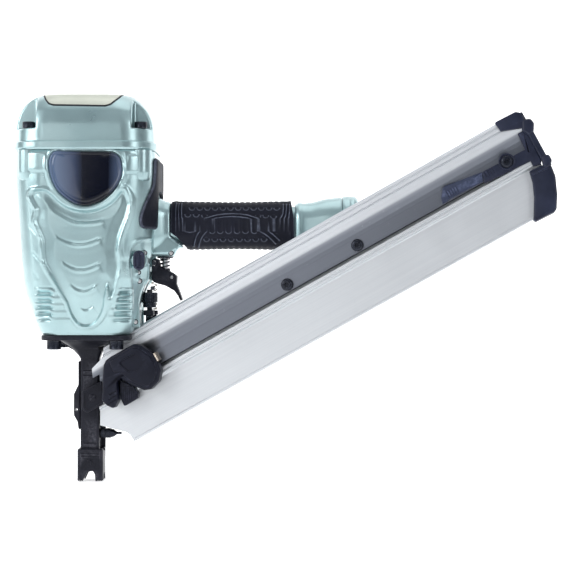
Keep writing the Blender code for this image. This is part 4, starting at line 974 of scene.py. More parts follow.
def handle_rings():
    rings = []
    parts = [[r for r in HANDLE if r[0] <= 74.7], [r for r in HANDLE if 74.75 < r[0] < 188.45], [r for r in HANDLE if r[0] > 188.45]]
    for t, n in zip(parts, (26, 4, 30)):
        for x in np.linspace(t[0][0], t[-1][0], n):
            zc, hz, hy = smooth_table(t, x)
            if t is parts[2]:
                # collar roll beside the grip and the flared end
                hz -= 1.0 * (1 - step(x, 188.5, 190.5)) + 0.9 * step(x, 230.3, 231.5)
                hy -= 1.0 * (1 - step(x, 188.5, 190.5)) + 0.9 * step(x, 230.3, 231.5)
                hz += 0.8 * bump(x - 192.5, 2.0)
                hy += 0.8 * bump(x - 192.5, 2.0)
            if t is parts[0]:
                hz -= 1.0 * step(x, 73.4, 74.7)
                hy -= 1.0 * step(x, 73.4, 74.7)
            rings.append(oval(x, zc, hz, hy))
    return rings


def chamber_loop(z, z_at=None):
    x0, x1, hy, r = lerp_table(BARREL, z)
    back = min(x1 - WALL, lerp_table(((146.0, 40.2), (190.0, 40.8), (204.5, 50.0), (216.0, 55.4), (400.0, 99.0)), z)[0])
    return [(x, y, z if z_at is None else z_at) for x, y in rounded_loop(x0 + WALL, back, -hy + WALL, hy - WALL, r - WALL, 6)]


zs = np.linspace(134.4, 299.6, 206)
housing = skin("barrel_casting", barrel_rings(zs), angle=38)
root = skin("handle_root", [r for r in handle_rings() if r[0][0] <= 74.71])
join(root, plate("trigger_root", smooth_profile([(44, 205.6), (62, 205.5, 2), (78.0, 205.5, 2.0), (80.5, 210.8, 3), (83.4, 213.4, 2), (87.2, 213.2, 0.8), (80.4, 221.2, 2),
                                                 (74.0, 226.2), (70.0, 240.0), (44, 240.0)], 1.2, 4), -16.0, 16.0, 4.5, segments=6))
mod = root.modifiers.new("even", "REMESH")
mod.mode = "VOXEL"
mod.voxel_size = 0.8 * MM
mod.use_smooth_shade = True
mod = root.modifiers.new("blend", "SMOOTH")
mod.factor = 0.5
mod.iterations = 14
bpy.context.view_layer.update()
bake(root)
cut(root, box("grip_room", (74.75, -30, 226.8), (100, 30, 270)))
join(root, skin("handle_core", [r for r in handle_rings() if r[0][0] > 74.75] ))
join(root, cylinder("core_link", 12.0, 6.0, (74.0, 0, 234.0), "X", 48))
join(housing, root)
join(housing,
     turned("selector_boss", smooth_profile([(0, 0), (7.2, 0, 0.1), (7.2, 20.9, 1.0), (0, 20.9)], 0), (SELECT_X, -29.3, SELECT_Z), "-Y", 40),
     box("spring_seat", (44.0, 9.4, 184.8), (61.2, 15.4, 192.0), 0.8),
     box("trigger_lug", (50, -4.6, 195.6), (63.0, 4.6, 207), 0.7))
for sx in (-1, 1):
    for sy in (-1, 1):
        join(housing, turned("cap_boss", smooth_profile([(0, -15.0), (4.0, -14.6), (8.2, -12.0, 4), (9.7, -6.0, 5), (9.9, 14.0), (0, 14.0)], 0, 5), (sx * 50.0 + 0.4, sy * 44.0, 285.6 - 0.013), steps=44))
def on_side(y, *points):
    """Outline given on the side drawing carried to millimetres at depth y."""
    k = (EYE_Y - abs(y)) / DRAW
    return [(EYE_X + (q[0] - 288.0) * k, EYE_Z + (288.0 - q[1]) * k) + tuple(q[2:]) for q in points]


web = on_side(24.0, (126.0, 263.0), (149.8, 263.0, 1.5), (149.4, 279.5, 3.0), (145.6, 285.0, 3.0), (140.2, 294.0, 4.0), (139.6, 300.0, 2.0), (140.3, 327.6, 0.8), (126.0, 327.6))
join(housing, plate("rear_web_near", smooth_profile(web, 1, 5), -27.0, -12.8, 1.2), plate("rear_web_far", smooth_profile(web, 1, 5), 16.6, 27.0, 1.2))
cut(housing,
    skin("chamber", [chamber_loop(z) for z in (146.0, 158.2, 169.3, 180.3, 190.0, 204.5, 216.0, 246.6, 276.0)] + [chamber_loop(299.0, 310.0)]))
cut(housing,
    skin("handle_passage", [[(x, y, zc + z) for y, z in rounded_loop(-hy, hy, -hz, hz, min(hy, hz) * 0.9, 8)]
                            for x, zc, hz, hy in ((48.0, 236.0, 13.0, 10.5), (92.0, 236.0, 12.0, 10.0), (188.0, 233.8, 13.0, 10.0),
                                                  (215.0, 233.0, 15.0, 12.5), (237.5, 233.0, 16.0, 13.0))]))
cut(housing, cylinder("driver_hole", 6.5, 30.0, (0, 0, 140.0)),
    in_magazine(box("magazine_room", (-30.0, -13.2, -70.0), (95.0, 10.6, 1.2))))
cut(housing, cylinder("valve_pocket", 9.6, 50.0, (VALVE_X, 0, 222.0)), cylinder("dial_room", 9.4, 90.0, (55.0, 0, 142.0)),
    cylinder("trigger_pin_hole", 2.3, 30.0, (TRIGGER_X, 0, TRIGGER_Z), "Y", 24))
for x, y in NOSE_BOLTS:
    cut(housing, cylinder("nose_bolt_hole", 3.3, 20.0, (x, y, 135.0), segments=24))
for x, y in CAP_BOLTS:
    cut(housing, cylinder("cap_bolt_hole", 3.0, 24.0, (x, y, 299.0), segments=24))
cut(housing, cylinder("selector_hole", 3.1, 14.0, (SELECT_X, -49.0, SELECT_Z), "Y", 24),
    cylinder("filter_seat", 17.2, 10.0, (231.5 + 1.6, 0, 233.0), "X", 48))
finish(housing, "paint", replaces=("housing",))


# ============================================================ cap
def smax(a, b, k):
    h = np.clip(0.5 + 0.5 * (a - b) / k, 0, 1)
    return b + (a - b) * h + k * h * (1 - h)


def cap_base(x, y, z):
    """Signed distance, negative inside, to the dome's rounded rectangle at height z (arrays)."""
    tab = np.array(CAP)
    rows = np.array([smooth_table(CAP, float(q)) for q in np.unique(z)])
    look = {float(q): r for q, r in zip(np.unique(z), rows)}
    r4 = np.array([look[float(q)] for q in z.ravel()]).reshape(*z.shape, 4)
    x0, x1, hy, r = (r4[..., i] for i in range(4))
    cx, hx = (x0 + x1) / 2, (x1 - x0) / 2
    qx, qy = np.abs(x - cx) - hx + r, np.abs(y) - hy + r
    return np.hypot(np.maximum(qx, 0), np.maximum(qy, 0)) + np.minimum(np.maximum(qx, qy), 0) - r


def cap_shell(name, z_values, grow=0.0, pockets=True, n=420):
    th = np.linspace(0, 2 * math.pi, n, endpoint=False)
    # put more of the rays where the corner pockets are
    th = th + 0.10 * np.sin(4 * th)
    Z, T = np.meshgrid(z_values, th, indexing="ij")

    def f(R):
        x, y = R * np.cos(T), R * np.sin(T)
        d = cap_base(x, y, Z) - grow + (1 - step(Z, 299.85, 301.2)) * 1.0 if grow == 0.0 else cap_base(x, y, Z) - grow
        if pockets:
            ax, ay = np.where(x > 0, x - 50.4, -x - 49.8), np.abs(y) - 43.4
            notch = -smax(smax(-(ax + 7.4), -(ay + 7.4), 3.5), -(Z - 319.0), 1.6)
            d = smax(d, notch, 1.6)
        return d

    lo, hi = np.full(Z.shape, 2.0), np.full(Z.shape, 110.0)
    for _ in range(26):
        mid = (lo + hi) / 2
        neg = f(mid) < 0
        lo, hi = np.where(neg, mid, lo), np.where(neg, hi, mid)
    R = (lo + hi) / 2
    return skin(name, np.stack([R * np.cos(T), R * np.sin(T), Z], axis=-1), angle=38)


cz = np.concatenate([[299.85, 300.0, 300.4, 301.4, 302.2, 303.5, 305.0, 306.0, 306.5, 306.8, 307.2, 307.6, 308.2], np.linspace(309.0, 317.0, 9),
                     np.arange(317.4, 322.0, 0.35), np.linspace(322.5, 340.0, 26), np.arange(340.5, 349.0, 0.4), np.arange(349.2, 351.3, 0.2), [351.3]])
top_cap = cap_shell("cylinder_cap", cz)
COVER_V = [(-43.0, 359.0), (-38.4, 350.4), (-34.6, 344.0), (-31.5, 340.4), (-27.0, 338.8), (19.5, 338.0), (24.5, 339.6), (31.0, 345.6), (35.0, 351.4),
           (39.5, 359.0)]
cut(top_cap, plate("gasket_step", rounded_loop(-60.9, 60.3, -54.4, 54.4, 26, 10), 290.0, 301.4, plane="XY"))
cut(top_cap, turned("valve_chamber", [(0, 334), (40.3, 334), (40.3, 300), (0, 300)], steps=64),
    plate("cover_recess", smooth_profile(COVER_V, 1.5, 4), -70, 70),
    box("exhaust_passage", (-20, -16, 325), (26, 16, 362)))
for x, y in CAP_BOLTS:
    cut(top_cap, cylinder("cap_bolt_bore", 3.3, 50.0, (x, y, 310.0), segments=24))
finish(top_cap, "paint", replaces=("top_cap",))


def inset_outline(points, d):
    """Outline moved inward by d mm, for a closed anticlockwise or clockwise loop."""
    p = np.array(points, float)
    area2 = np.sum(p[:, 0] * np.roll(p[:, 1], -1) - np.roll(p[:, 0], -1) * p[:, 1])
    s = 1 if area2 > 0 else -1
    e = np.roll(p, -1, 0) - p
    e = e / np.linalg.norm(e, axis=1)[:, None]
    nrm = np.column_stack([-e[:, 1], e[:, 0]]) * s
    out = []
    for i in range(len(p)):
        a, b = nrm[i - 1], nrm[i]
        m = a + b
        m = m / max(np.dot(m, m) / 2, 0.2)
        out.append(tuple(p[i] + m * d))
    return out


# the gasket that shows as a dark line round the exhaust cover, then the formed cover itself
gz = np.concatenate([np.linspace(330.0, 340.0, 12), np.arange(340.5, 349.0, 0.4), np.arange(349.2, 351.3, 0.2), [351.3]])
gasket_line = cap_shell("cover_seal", gz, 0.35, pockets=False, n=300)
combine(gasket_line, [plate("seal_outline", smooth_profile(inset_outline(COVER_V, 0.12), 1.4, 4), -70, 70)], "INTERSECT")
cut(gasket_line, plate("seal_inner", smooth_profile(inset_outline(COVER_V, 1.25), 1.2, 4), -70, 70))
finish(gasket_line, "gasket")
cover = cap_shell("exhaust_cover_plate", gz, 1.0, pockets=False, n=300)
combine(cover, [plate("cover_outline", smooth_profile(inset_outline(COVER_V, 1.5), 1.2, 4), -70, 70)], "INTERSECT")
cut(cover, box("cover_hollow", (-22, -27, 330), (18, 27, 349.2), 1.0), cylinder("cover_screw_hole", 3.0, 40.0, (0, 0, 350), segments=32))
for k in range(5):
    x = -26.0 + 3.6 * k if k < 3 else 15.0 + 3.6 * (k - 3)
    cut(cover, box("vent", (x, -24, 347.0), (x + 1.8, 24, 360.0), 0.5))
finish(cover, "cover", replaces=("exhaust_cover",))
cut_screw = turned("cover_screw", smooth_profile([(0, 338.0), (2.6, 338.0), (2.6, 352.0), (5.6, 352.2), (5.6, 353.0, 0.5), (4.0, 354.3, 0.6), (2.2, 354.6, 0.3),
                                                  (2.2, 352.9), (0, 352.9)], 0), steps=48)
finish(cut_screw, "bolt", replaces=("exhaust_cover_screw",))


def socket_screw(name, head_r, head_h, shank_r, shank_l, centre, up=True, node=None, body="tool_body", axis=None, mat="bolt"):
    """Socket-head screw with a hexagon socket and a knurled head; head above the seat when up."""
    h = head_h
    n = 60

    def knurl(r, z, t):
        if r > head_r - 0.05 and 0.9 < z < h - 0.9:
            return r - 0.16 * (0.5 + 0.5 * math.cos(30 * t))
        return r

    prof = [(0, -shank_l), (shank_r - 0.4, -shank_l), (shank_r, -shank_l + 0.6), (shank_r, 0), (head_r - 0.3, 0), (head_r, 0.35), (head_r, 0.95),
            (head_r, h * 0.5), (head_r, h - 0.95), (head_r, h - 0.7), (head_r - 0.25, h - 0.25), (head_r - 0.8, h), (0, h)]
    ob = turned(name, prof, steps=n, flute=knurl)
    hexa = cylinder("hex", 0.56 * head_r, h, (0, 0, h + 0.0), segments=6)
    cut(ob, hexa)
    turn = turn_matrix(axis) if axis else (Matrix.Identity(4) if up else Matrix.Rotation(math.pi, 4, "X"))
    move(ob, Matrix.Translation([c * MM for c in centre]) @ turn)
    if node:
        finish(ob, mat, body, (node,))
    return ob


for i, (x, y) in enumerate(CAP_BOLTS):
    socket_screw("cap_screw_%d" % (i + 1), 5.7, 5.8, 2.7, 26.0, (x, y, 319.4), True, "cap_bolt_%d" % (i + 1))
for i, (x, y) in enumerate(NOSE_BOLTS):
    socket_screw("nose_screw_%d" % (i + 1), 6.4, 8.0, 3.0, 14.0, (x, y, 129.0), False, "nose_bolt_%d" % (i + 1))


# ============================================================ side badges: blank domed lenses
def badge(name, side, node):
    p = np.array(WINDOW)
    # outline on the flank, from the drawing to millimetres at the lens's own depth
    depth = EYE_Y - 57.0
    pts = np.column_stack([EYE_X + (p[:, 0] - 288.0) * depth / DRAW, EYE_Z + (288.0 - p[:, 1]) * depth / DRAW])
    c = pts.mean(axis=0)
    rings = []
    for inset, y in ((0.25, 55.6), (0.25, 57.6), (0.45, 58.0), (0.9, 58.25), (1.5, 58.3), (2.3, 58.15), (2.6, 57.95), (3.0, 57.95), (3.4, 58.2), (5.0, 58.42),
                     (9.0, 58.52), (15.0, 58.56), (21.0, 58.58)):
        q = np.array(inset_outline([tuple(a) for a in pts], inset)) if inset < 4 else c + (pts - c) * (1 - inset / 30.0)
        rings.append(np.column_stack([q[:, 0], np.full(len(q), side * y), q[:, 1]]))
    ob = skin(name, rings, angle=50)
    return finish(ob, "badge", replaces=(node,))


badge("lens_near", -1, "side_badge_near")
badge("lens_far", 1, "side_badge_far")


# ============================================================ rear pads
def rear_pad(name, side, node):
    """Rubber bumper: hugs the rear corner low down and meets its twin across the rear face above the handle."""
    turn_end = ((229.5, 44), (231.5, 51), (238.0, 54), (250.0, 47), (260.0, 36), (268.0, 25), (280.0, 20), (291.0, 18), (293.5, 12))
    rings = []
    for z in np.linspace(229.5, 293.5, 90):
        a1 = math.radians(smooth_table([(q, w, w, w, w) for q, w in turn_end], z)[0])
        x0, x1, hy, r = smooth_table(BARREL, z)
        cx, cy = x1 - r, hy - r
        reach = 1.6 + 2.2 * float(step(z, 229.5, 238.0))
        reach += (cy - 0.4 - reach) * float(step(z, 262.0, 265.5)) * (1 - 0.12 * float(step(z, 291.0, 293.5)))
        total = reach + a1 * (r + 3)
        tilt = min(z - 229.5, 293.5 - z)
        cut_in = max(0.0, min(1.0, (z - 263.5) / 2.0))

        def at(e, lift):
            if e < reach:
                return cx + r + lift, cy - (reach - e)
            q = (e - reach) / (r + 3)
            return cx + (r + lift) * math.cos(q), cy + (r + lift) * math.sin(q)

        n = 40
        loop = []
        for k in range(n + 1):
            e = total * k / n
            near_end = total - e if cut_in > 0.5 else min(e, total - e)
            crown = 0.95 + 2.1 * (1 - math.exp(-near_end / 0.9)) * min(1.0, (1 - math.exp(-tilt / 0.8)) + 0.02)
            groove = 0.35 * bump(near_end - 2.4, 0.5) * (1 if 3 < tilt else 0)
            loop.append(at(e, crown - groove))
        for k in range(n + 1):
            loop.append(at(total * (1 - k / n), 0.6))
        rings.append([(x, side * y, z) for x, y in loop])
    ob = skin(name, rings, angle=45)
    return finish(ob, "rubber", replaces=(node,))


rear_pad("corner_pad_near", -1, "rear_pad_near")
rear_pad("corner_pad_far", 1, "rear_pad_far")

# ============================================================ handle: grip sleeve, end cap, port
GRIP_LINES = [spline(s, 2) for s in (
    [(176.3, 203.4), (175.5, 218.7), (180.1, 227.9), (186.2, 231.7), (193.9, 231.7), (204.6, 226.2), (216.8, 222.0), (232.1, 220.4), (247.5, 221.9),
     (258.2, 226.2), (267.4, 229.8), (276, 230.3), (283.5, 226.5), (288.8, 218.0), (290, 204.9)],
    [(178.9, 204.1), (178.6, 217.9), (183.2, 226.3), (187.8, 229.1), (193.9, 227.9), (204.6, 221.7), (216.8, 217.9), (232.1, 216.4), (247.5, 217.9),
     (258.2, 221.7), (267.4, 225.6), (275, 226), (281.1, 223.3), (285.7, 215.6), (286.5, 204.9)],
    [(181.6, 204.1), (181.6, 217.1), (186.2, 225.1), (192.4, 225.1), (204.6, 219), (216.8, 215.2), (232.1, 213.9), (247.5, 215.2), (258.2, 219.0),
     (267.4, 222.6), (274, 222.8), (279.5, 219.5), (283, 213.6), (283.4, 204.9)],
    [(193.9, 246.2), (196.2, 237), (201.5, 229.4), (210.7, 224.5), (232.1, 221.0), (247.5, 222.6), (262.8, 228.1), (271.9, 233.5), (279.6, 240.3)],
    [(198.6, 247.5), (200.8, 239.5), (205.6, 232.6), (213.4, 228.0), (232.1, 225.0), (246, 226.4), (259.8, 231.3), (268.5, 236.6), (275.6, 243.3)])]
GRIP_DOTS = ([(187.8, 214.8), (196.2, 214.8), (204.6, 215.6), (258.2, 215.6), (265.8, 215.6), (273.5, 216.4)]
             + [(x, 231.2) for x in (212.2, 220.2, 228.6, 237.2, 245.5, 254.3)] + [(x, 239.0) for x in (206.5, 214.8, 223.0, 231.2, 239.4, 247.6, 255.8, 264.0)]
             + [(192.0 + 7.7 * k, 208.3) for k in range(12)])


def grip_relief(u, v):
    h = np.zeros(u.shape)
    for k, s in enumerate(GRIP_LINES):
        g, t, side = seg_dist(u, v, s)
        h += 1.0 * bump(g, 0.75)
        h -= 0.3 * bump(g - 1.9, 0.7)
    for x, y in GRIP_DOTS:
        g = np.hypot((u - x) / 1.25, v - y)
        h -= 0.45 * (1 - step(g, 0.9, 1.7))
        h += 0.6 * bump(g - 2.3, 0.75) * (v > y - 0.4)
    return h


def grip_ring(x, hz, hy):
    zc, n_side, n_cap = 233.9, 58, 26
    r = min(hy, hz) * 0.92
    pts, nor = [], []
    # corners carry most of the points: the section is close to an ellipse
    base = rounded_loop(-hy, hy, -hz, hz, r, 56)
    p = np.array(base)
    q = np.roll(p, -1, 0) - np.roll(p, 1, 0)
    nrm = np.column_stack([q[:, 1], -q[:, 0]])
    nrm /= np.linalg.norm(nrm, axis=1)[:, None]
    return p, nrm, zc


def grip_rings():
    rings = []
    xs = np.concatenate([[75.0, 75.15, 75.4, 75.8, 76.3, 77.0], np.linspace(77.6, 185.6, 200), [186.2, 186.8, 187.3, 187.7, 187.9, 188.0]])
    table = ((75.0, 20.8, 16.4), (75.3, 21.5, 17.1), (76.4, 22.2, 17.8), (90.0, 22.3, 18.0), (110.0, 22.0, 17.7), (130.0, 21.7, 17.5), (150.0, 21.9, 17.7),
             (172.0, 22.4, 18.1), (186.6, 22.2, 17.8), (187.7, 21.5, 17.1), (188.0, 20.8, 16.4))
    for x in xs:
        hz, hy = smooth_table(table, x)
        # two low rolls at each end of the sleeve
        for c in (79.5, 184.0):
            hz += 0.5 * bump(x - c, 1.6)
            hy += 0.5 * bump(x - c, 1.6)
        p, nrm, zc = grip_ring(x, hz, hy)
        pts = np.column_stack([np.full(len(p), x), p[:, 0], zc + p[:, 1]])
        u, v = side_uv(pts)
        w = step(np.abs(nrm[:, 0]), 0.12, 0.5) * step(x, 78.0, 81.0) * (1 - step(x, 182.5, 185.0))
        h = grip_relief(u, v) * w
        # cross ribs along the top and under the fingers
        topw = step(nrm[:, 1], 0.80, 0.93) + step(-nrm[:, 1], 0.80, 0.93)
        rib = 0.5 + 0.5 * math.cos(2 * math.pi * (x - 75.0) / 5.2)
        h = h - topw * 0.55 * (rib ** 3) * step(x, 84.0, 88.0) * (1 - step(x, 174.0, 178.0))
        pts[:, 1:] += nrm * h[:, None]
        rings.append(pts)
    return rings


grip = skin("rubber_sleeve", grip_rings(), angle=42)
cut(grip, skin("grip_bore", [[(x, y, 233.8 + z) for y, z in rounded_loop(-13.9, 13.9, -18.1, 18.1, 13.6 * 0.92, 12)] for x in (60.0, 205.0)]),
    plate("grip_corner", smooth_profile([(70, 205), (70, 227.5, 0), (75.2, 227.0, 1.0), (81.6, 222.0, 3), (89.4, 213.2, 3), (91.0, 205)], 0.5, 4), -30, 30))
cut(grip, plate("grip_end_slant", [(184.6, 262), (184.6, 256.5), (187.3, 240), (188.6, 205), (200, 205), (200, 262)], -30, 30))
finish(grip, "rubber", replaces=("grip_sleeve",))

rows = ((231.9, 26.7, 21.1), (232.0, 27.1, 21.5), (232.5, 27.5, 21.9), (234.5, 28.0, 22.6), (237.0, 28.1, 23.1), (241.5, 28.0, 23.4), (243.5, 27.4, 22.9),
        (245.0, 26.4, 22.2), (245.9, 25.0, 21.0), (246.4, 23.6, 19.8), (246.6, 22.5, 19.0))
rings = []
for x in np.concatenate([[231.9, 232.0, 232.2, 232.5], np.linspace(233, 244.5, 18), np.linspace(244.8, 246.6, 10)]):
    hz, hy = smooth_table(rows, x)
    hz -= 0.5 * bump(x - 239.2, 0.7)
    hy -= 0.5 * bump(x - 239.2, 0.7)
    rings.append(oval(x, 233.0, hz, hy, 20))
end_cap = skin("end_cap", rings, angle=38)
thread = [(0, 225.0)] + [(8.4, 225.0)]
z = 227.0
while z < 244.0:
    thread += [(8.4, z), (9.0, z + 0.45), (8.4, z + 0.9)]
    z += 1.27
thread += [(8.4, 244.6), (9.6, 246.0), (9.6, 249.0), (0, 249.0)]
cut(end_cap, turned("port_thread", thread, (0, 0, 233.0), "X", 64), cylinder("hanger_hole", 2.8, 30.0, (239.0, 0, 198.0), segments=32))
cut(end_cap, turned("port_face", [(14.5, 245.9), (16.0, 245.9), (16.0, 250.0), (14.5, 250.0)], (0, 0, 233.0), "X", 64))
finish(end_cap, "paint", replaces=("inlet_cap",))
cad("felt", "inlet_filter")

# cross pins and plugs that show on the rear lower flank, each seated on the casting's surface
bpy.context.view_layer.update()


def on_flank(u, v, side):
    """Point of the casting's flank under a point of the side drawing, in mm."""
    eye = Vector((EYE_X, side * EYE_Y, EYE_Z)) * MM
    far = Vector((EYE_X + (u - 288.0) * EYE_Y / DRAW, 0.0, EYE_Z - (v - 288.0) * EYE_Y / DRAW)) * MM
    hit, where, normal, _ = housing.ray_cast(eye, (far - eye).normalized())
    return tuple(c / MM for c in where) if hit else None


for side, tag in ((-1, "near"), (1, "far")):
    for i, (u, v, r) in enumerate(((144.5, 253.0, 1.7), (139.5, 281.0, 1.7), (135.5, 322.0, 1.7), (138.9, 272.5, 1.2), (171.0, 253.0, 1.7))):
        where = on_flank(u, v, side)
        if where is None or abs(where[1]) < 8.0:
            continue
        stud = turned("plug_pin_%s_%d" % (tag, i + 1), smooth_profile([(0, -2.0), (r - 0.15, -2.0), (r - 0.15, 0.15, 0.1), (r, 0.25, 0.1), (r, 0.75, 0.25), (r * 0.45, 0.95, 0.2),
                                                                     (r * 0.4, 0.6, 0.1), (0, 0.6)], 0, 3), where, "-Y" if side < 0 else "Y", 28)
        finish(stud, "steel")
        collar = turned("plug_collar_%s_%d" % (tag, i + 1), smooth_profile([(r + 0.02, -1.5), (r + 0.8, -1.5), (r + 0.8, 0.15, 0.1), (r + 0.6, 0.35, 0.2), (r + 0.02, 0.3, 0.1)], 0, 3),
                        where, "-Y" if side < 0 else "Y", 28)
        finish(collar, "plastic")

# ============================================================ magazine
SLOT_HALF = 4.7


def mag_prism(name, profile, x0, x1, angle=30):
    return in_magazine(plate(name, [(-w, -v) for w, v in profile], x0, x1, plane="YZ", angle=angle))


def upright(name, points, y0=-60.0, y1=40.0, bevel=0.0):
    ob = plate(name, points, y0, y1, bevel)
    return move(ob, Matrix.Rotation(-MAG_CANT, 4, "Z"))


near = [(9.0, 0.0, 0.5), (9.5, 0.6, 0.4), (10.6, 2.0, 0.6), (10.6, 3.0, 0.15), (9.8, 3.3, 0.1), (9.8, 4.2, 0.1), (10.6, 4.5, 0.15), (10.6, 7.4, 0.25), (9.5, 7.8, 0.15),
        (9.5, 8.7, 0.15), (11.0, 9.1, 0.25), (11.3, 12.0, 3.0), (11.0, 15.5, 1.2), (9.4, 19.2, 4.0), (7.6, 23.5, 3.0), (7.0, 27.0, 2.0), (7.0, 39.5, 0.3)]
rail_profile = smooth_profile([(-8.0, 0.0, 0.4)] + near + [(SLOT_HALF, 39.5, 0.3), (SLOT_HALF, 5.4, 0.8), (-SLOT_HALF, 5.4, 0.8), (-SLOT_HALF, 39.7, 0),
                                                          (-8.5, 39.7, 0), (-8.5, 30.4, 0.1), (-8.15, 30.2, 0.1), (-8.15, 29.6, 0.1), (-8.5, 29.4, 0.1), (-8.5, 0.5, 0.3)], 0.3, 4)
rail = mag_prism("rail_extrusion", rail_profile, -12.0, 443.0)
lower = [(9.2, 43.0, 0.3), (9.5, 43.6, 0.3), (9.5, 45.4, 0.3), (8.9, 45.8, 0.1), (8.9, 46.6, 0.1), (9.5, 47.0, 0.3), (9.5, 48.6, 0.5), (7.0, 49.4, 0.9), (5.8, 50.4, 0.8),
         (5.8, 87.4, 0.2), (6.6, 88.2, 0.4), (6.6, 89.6, 0.4), (6.2, 90.0, 0.2)]
lower_profile = smooth_profile([(SLOT_HALF, 43.0, 0.2)] + lower + [(-8.1, 90.0, 0.3), (-8.5, 89.6, 0.3), (-8.5, 39.8, 0.1), (-SLOT_HALF, 39.8, 0.1), (-SLOT_HALF, 85.6, 0.6),
                                                                  (SLOT_HALF, 85.6, 0.6)], 0.3, 4)
lower_plate = mag_prism("lower_extrusion", lower_profile, -45.0, 441.5)
for x in (192.1, 264.6, 416.1):
    cut(rail, in_magazine(cylinder("screw_hole", 2.55, 8.0, (x, -8.3, -33.7), "Y", 24)))
INNER_FRONT = [(-60, 50.8), (10.9, 50.8), (10.9, 107), (15.0, 117), (15.0, 150), (-60, 150)]
LOWER_FRONT = [(-60, -20), (43.5, -20), (43.5, 36.0), (39.0, 42.4), (35.5, 44.8), (28.5, 46.6), (10.9, 50.8)]
cut(rail, upright("rail_front", [(-60, 60), (4.6, 60), (4.6, 103), (13.0, 111.5), (15.0, 117), (15.0, 150), (-60, 150)], -60, 0.2),
    upright("rail_front_inner", INNER_FRONT, -8.6, 60))
cut(lower_plate, upright("lower_front", LOWER_FRONT + [(10.9, 110), (-60, 110)]))
cut(lower_plate, in_magazine(plate("lower_tail", [(432.0, -56), (424.3, -68), (411.0, -93), (470, -93), (470, -56)], -30, 30)))
finish(rail, "rail", replaces=("magazine_top_rail", "magazine_near_rail"))
finish(lower_plate, "plate", replaces=("magazine_lower_plate", "magazine_base_strip", "magazine_far_plate"))


def button_head(name, r, h, shank_r, shank_l, centre, node, flange=0.0):
    """Domed hex-socket screw across the magazine."""
    prof = [(0, -shank_l), (shank_r, -shank_l), (shank_r, 0), (r + flange - 0.3, 0), (r + flange, 0.3), (r + flange, h * 0.22), (r + flange * 0.4, h * 0.3), (r, h * 0.36),
            (r * 0.985, h * 0.5), (r * 0.93, h * 0.68), (r * 0.84, h * 0.83), (r * 0.72, h * 0.94), (r * 0.6, h * 0.99), (r * 0.5, h), (0, h)]
    ob = turned(name, prof, steps=56)
    cut(ob, cylinder("hex", 0.44 * r, h * 1.2, (0, 0, h * 0.95), segments=6))
    move(ob, Matrix.Translation([c * MM for c in centre]) @ turn_matrix("-Y"))
    in_magazine(ob)
    return finish(ob, "bolt", replaces=(node,))


button_head("side_screw_1", 5.6, 4.4, 2.1, 2.0, (192.1, -7.3, -33.6), "magazine_screw_1")
button_head("side_screw_2", 5.6, 4.4, 2.1, 2.0, (264.6, -7.3, -33.6), "magazine_screw_2")
button_head("arm_screw", 5.2, 2.6, 2.1, 5.6, (416.1, -11.3, -34.0), "tail_cap_screw")

def on_mag(w, *points):
    """Outline given on the side drawing, (u, v[, rounding]), carried to the magazine's own (x, height) plane at depth w."""
    turn = Euler((0.0, -MAG_RISE, -MAG_CANT)).to_matrix().inverted()
    eye = turn @ (Vector((EYE_X, -EYE_Y, EYE_Z)) - Vector((0, 0, MAG_TOP_Z)))
    out = []
    for p in points:
        d = turn @ Vector(((p[0] - 288.0) / DRAW, 1.0, (288.0 - p[1]) / DRAW))
        t = (-w - eye.y) / d.y
        q = eye + d * t
        out.append((q.x, q.z) + tuple(p[2:]))
    return out


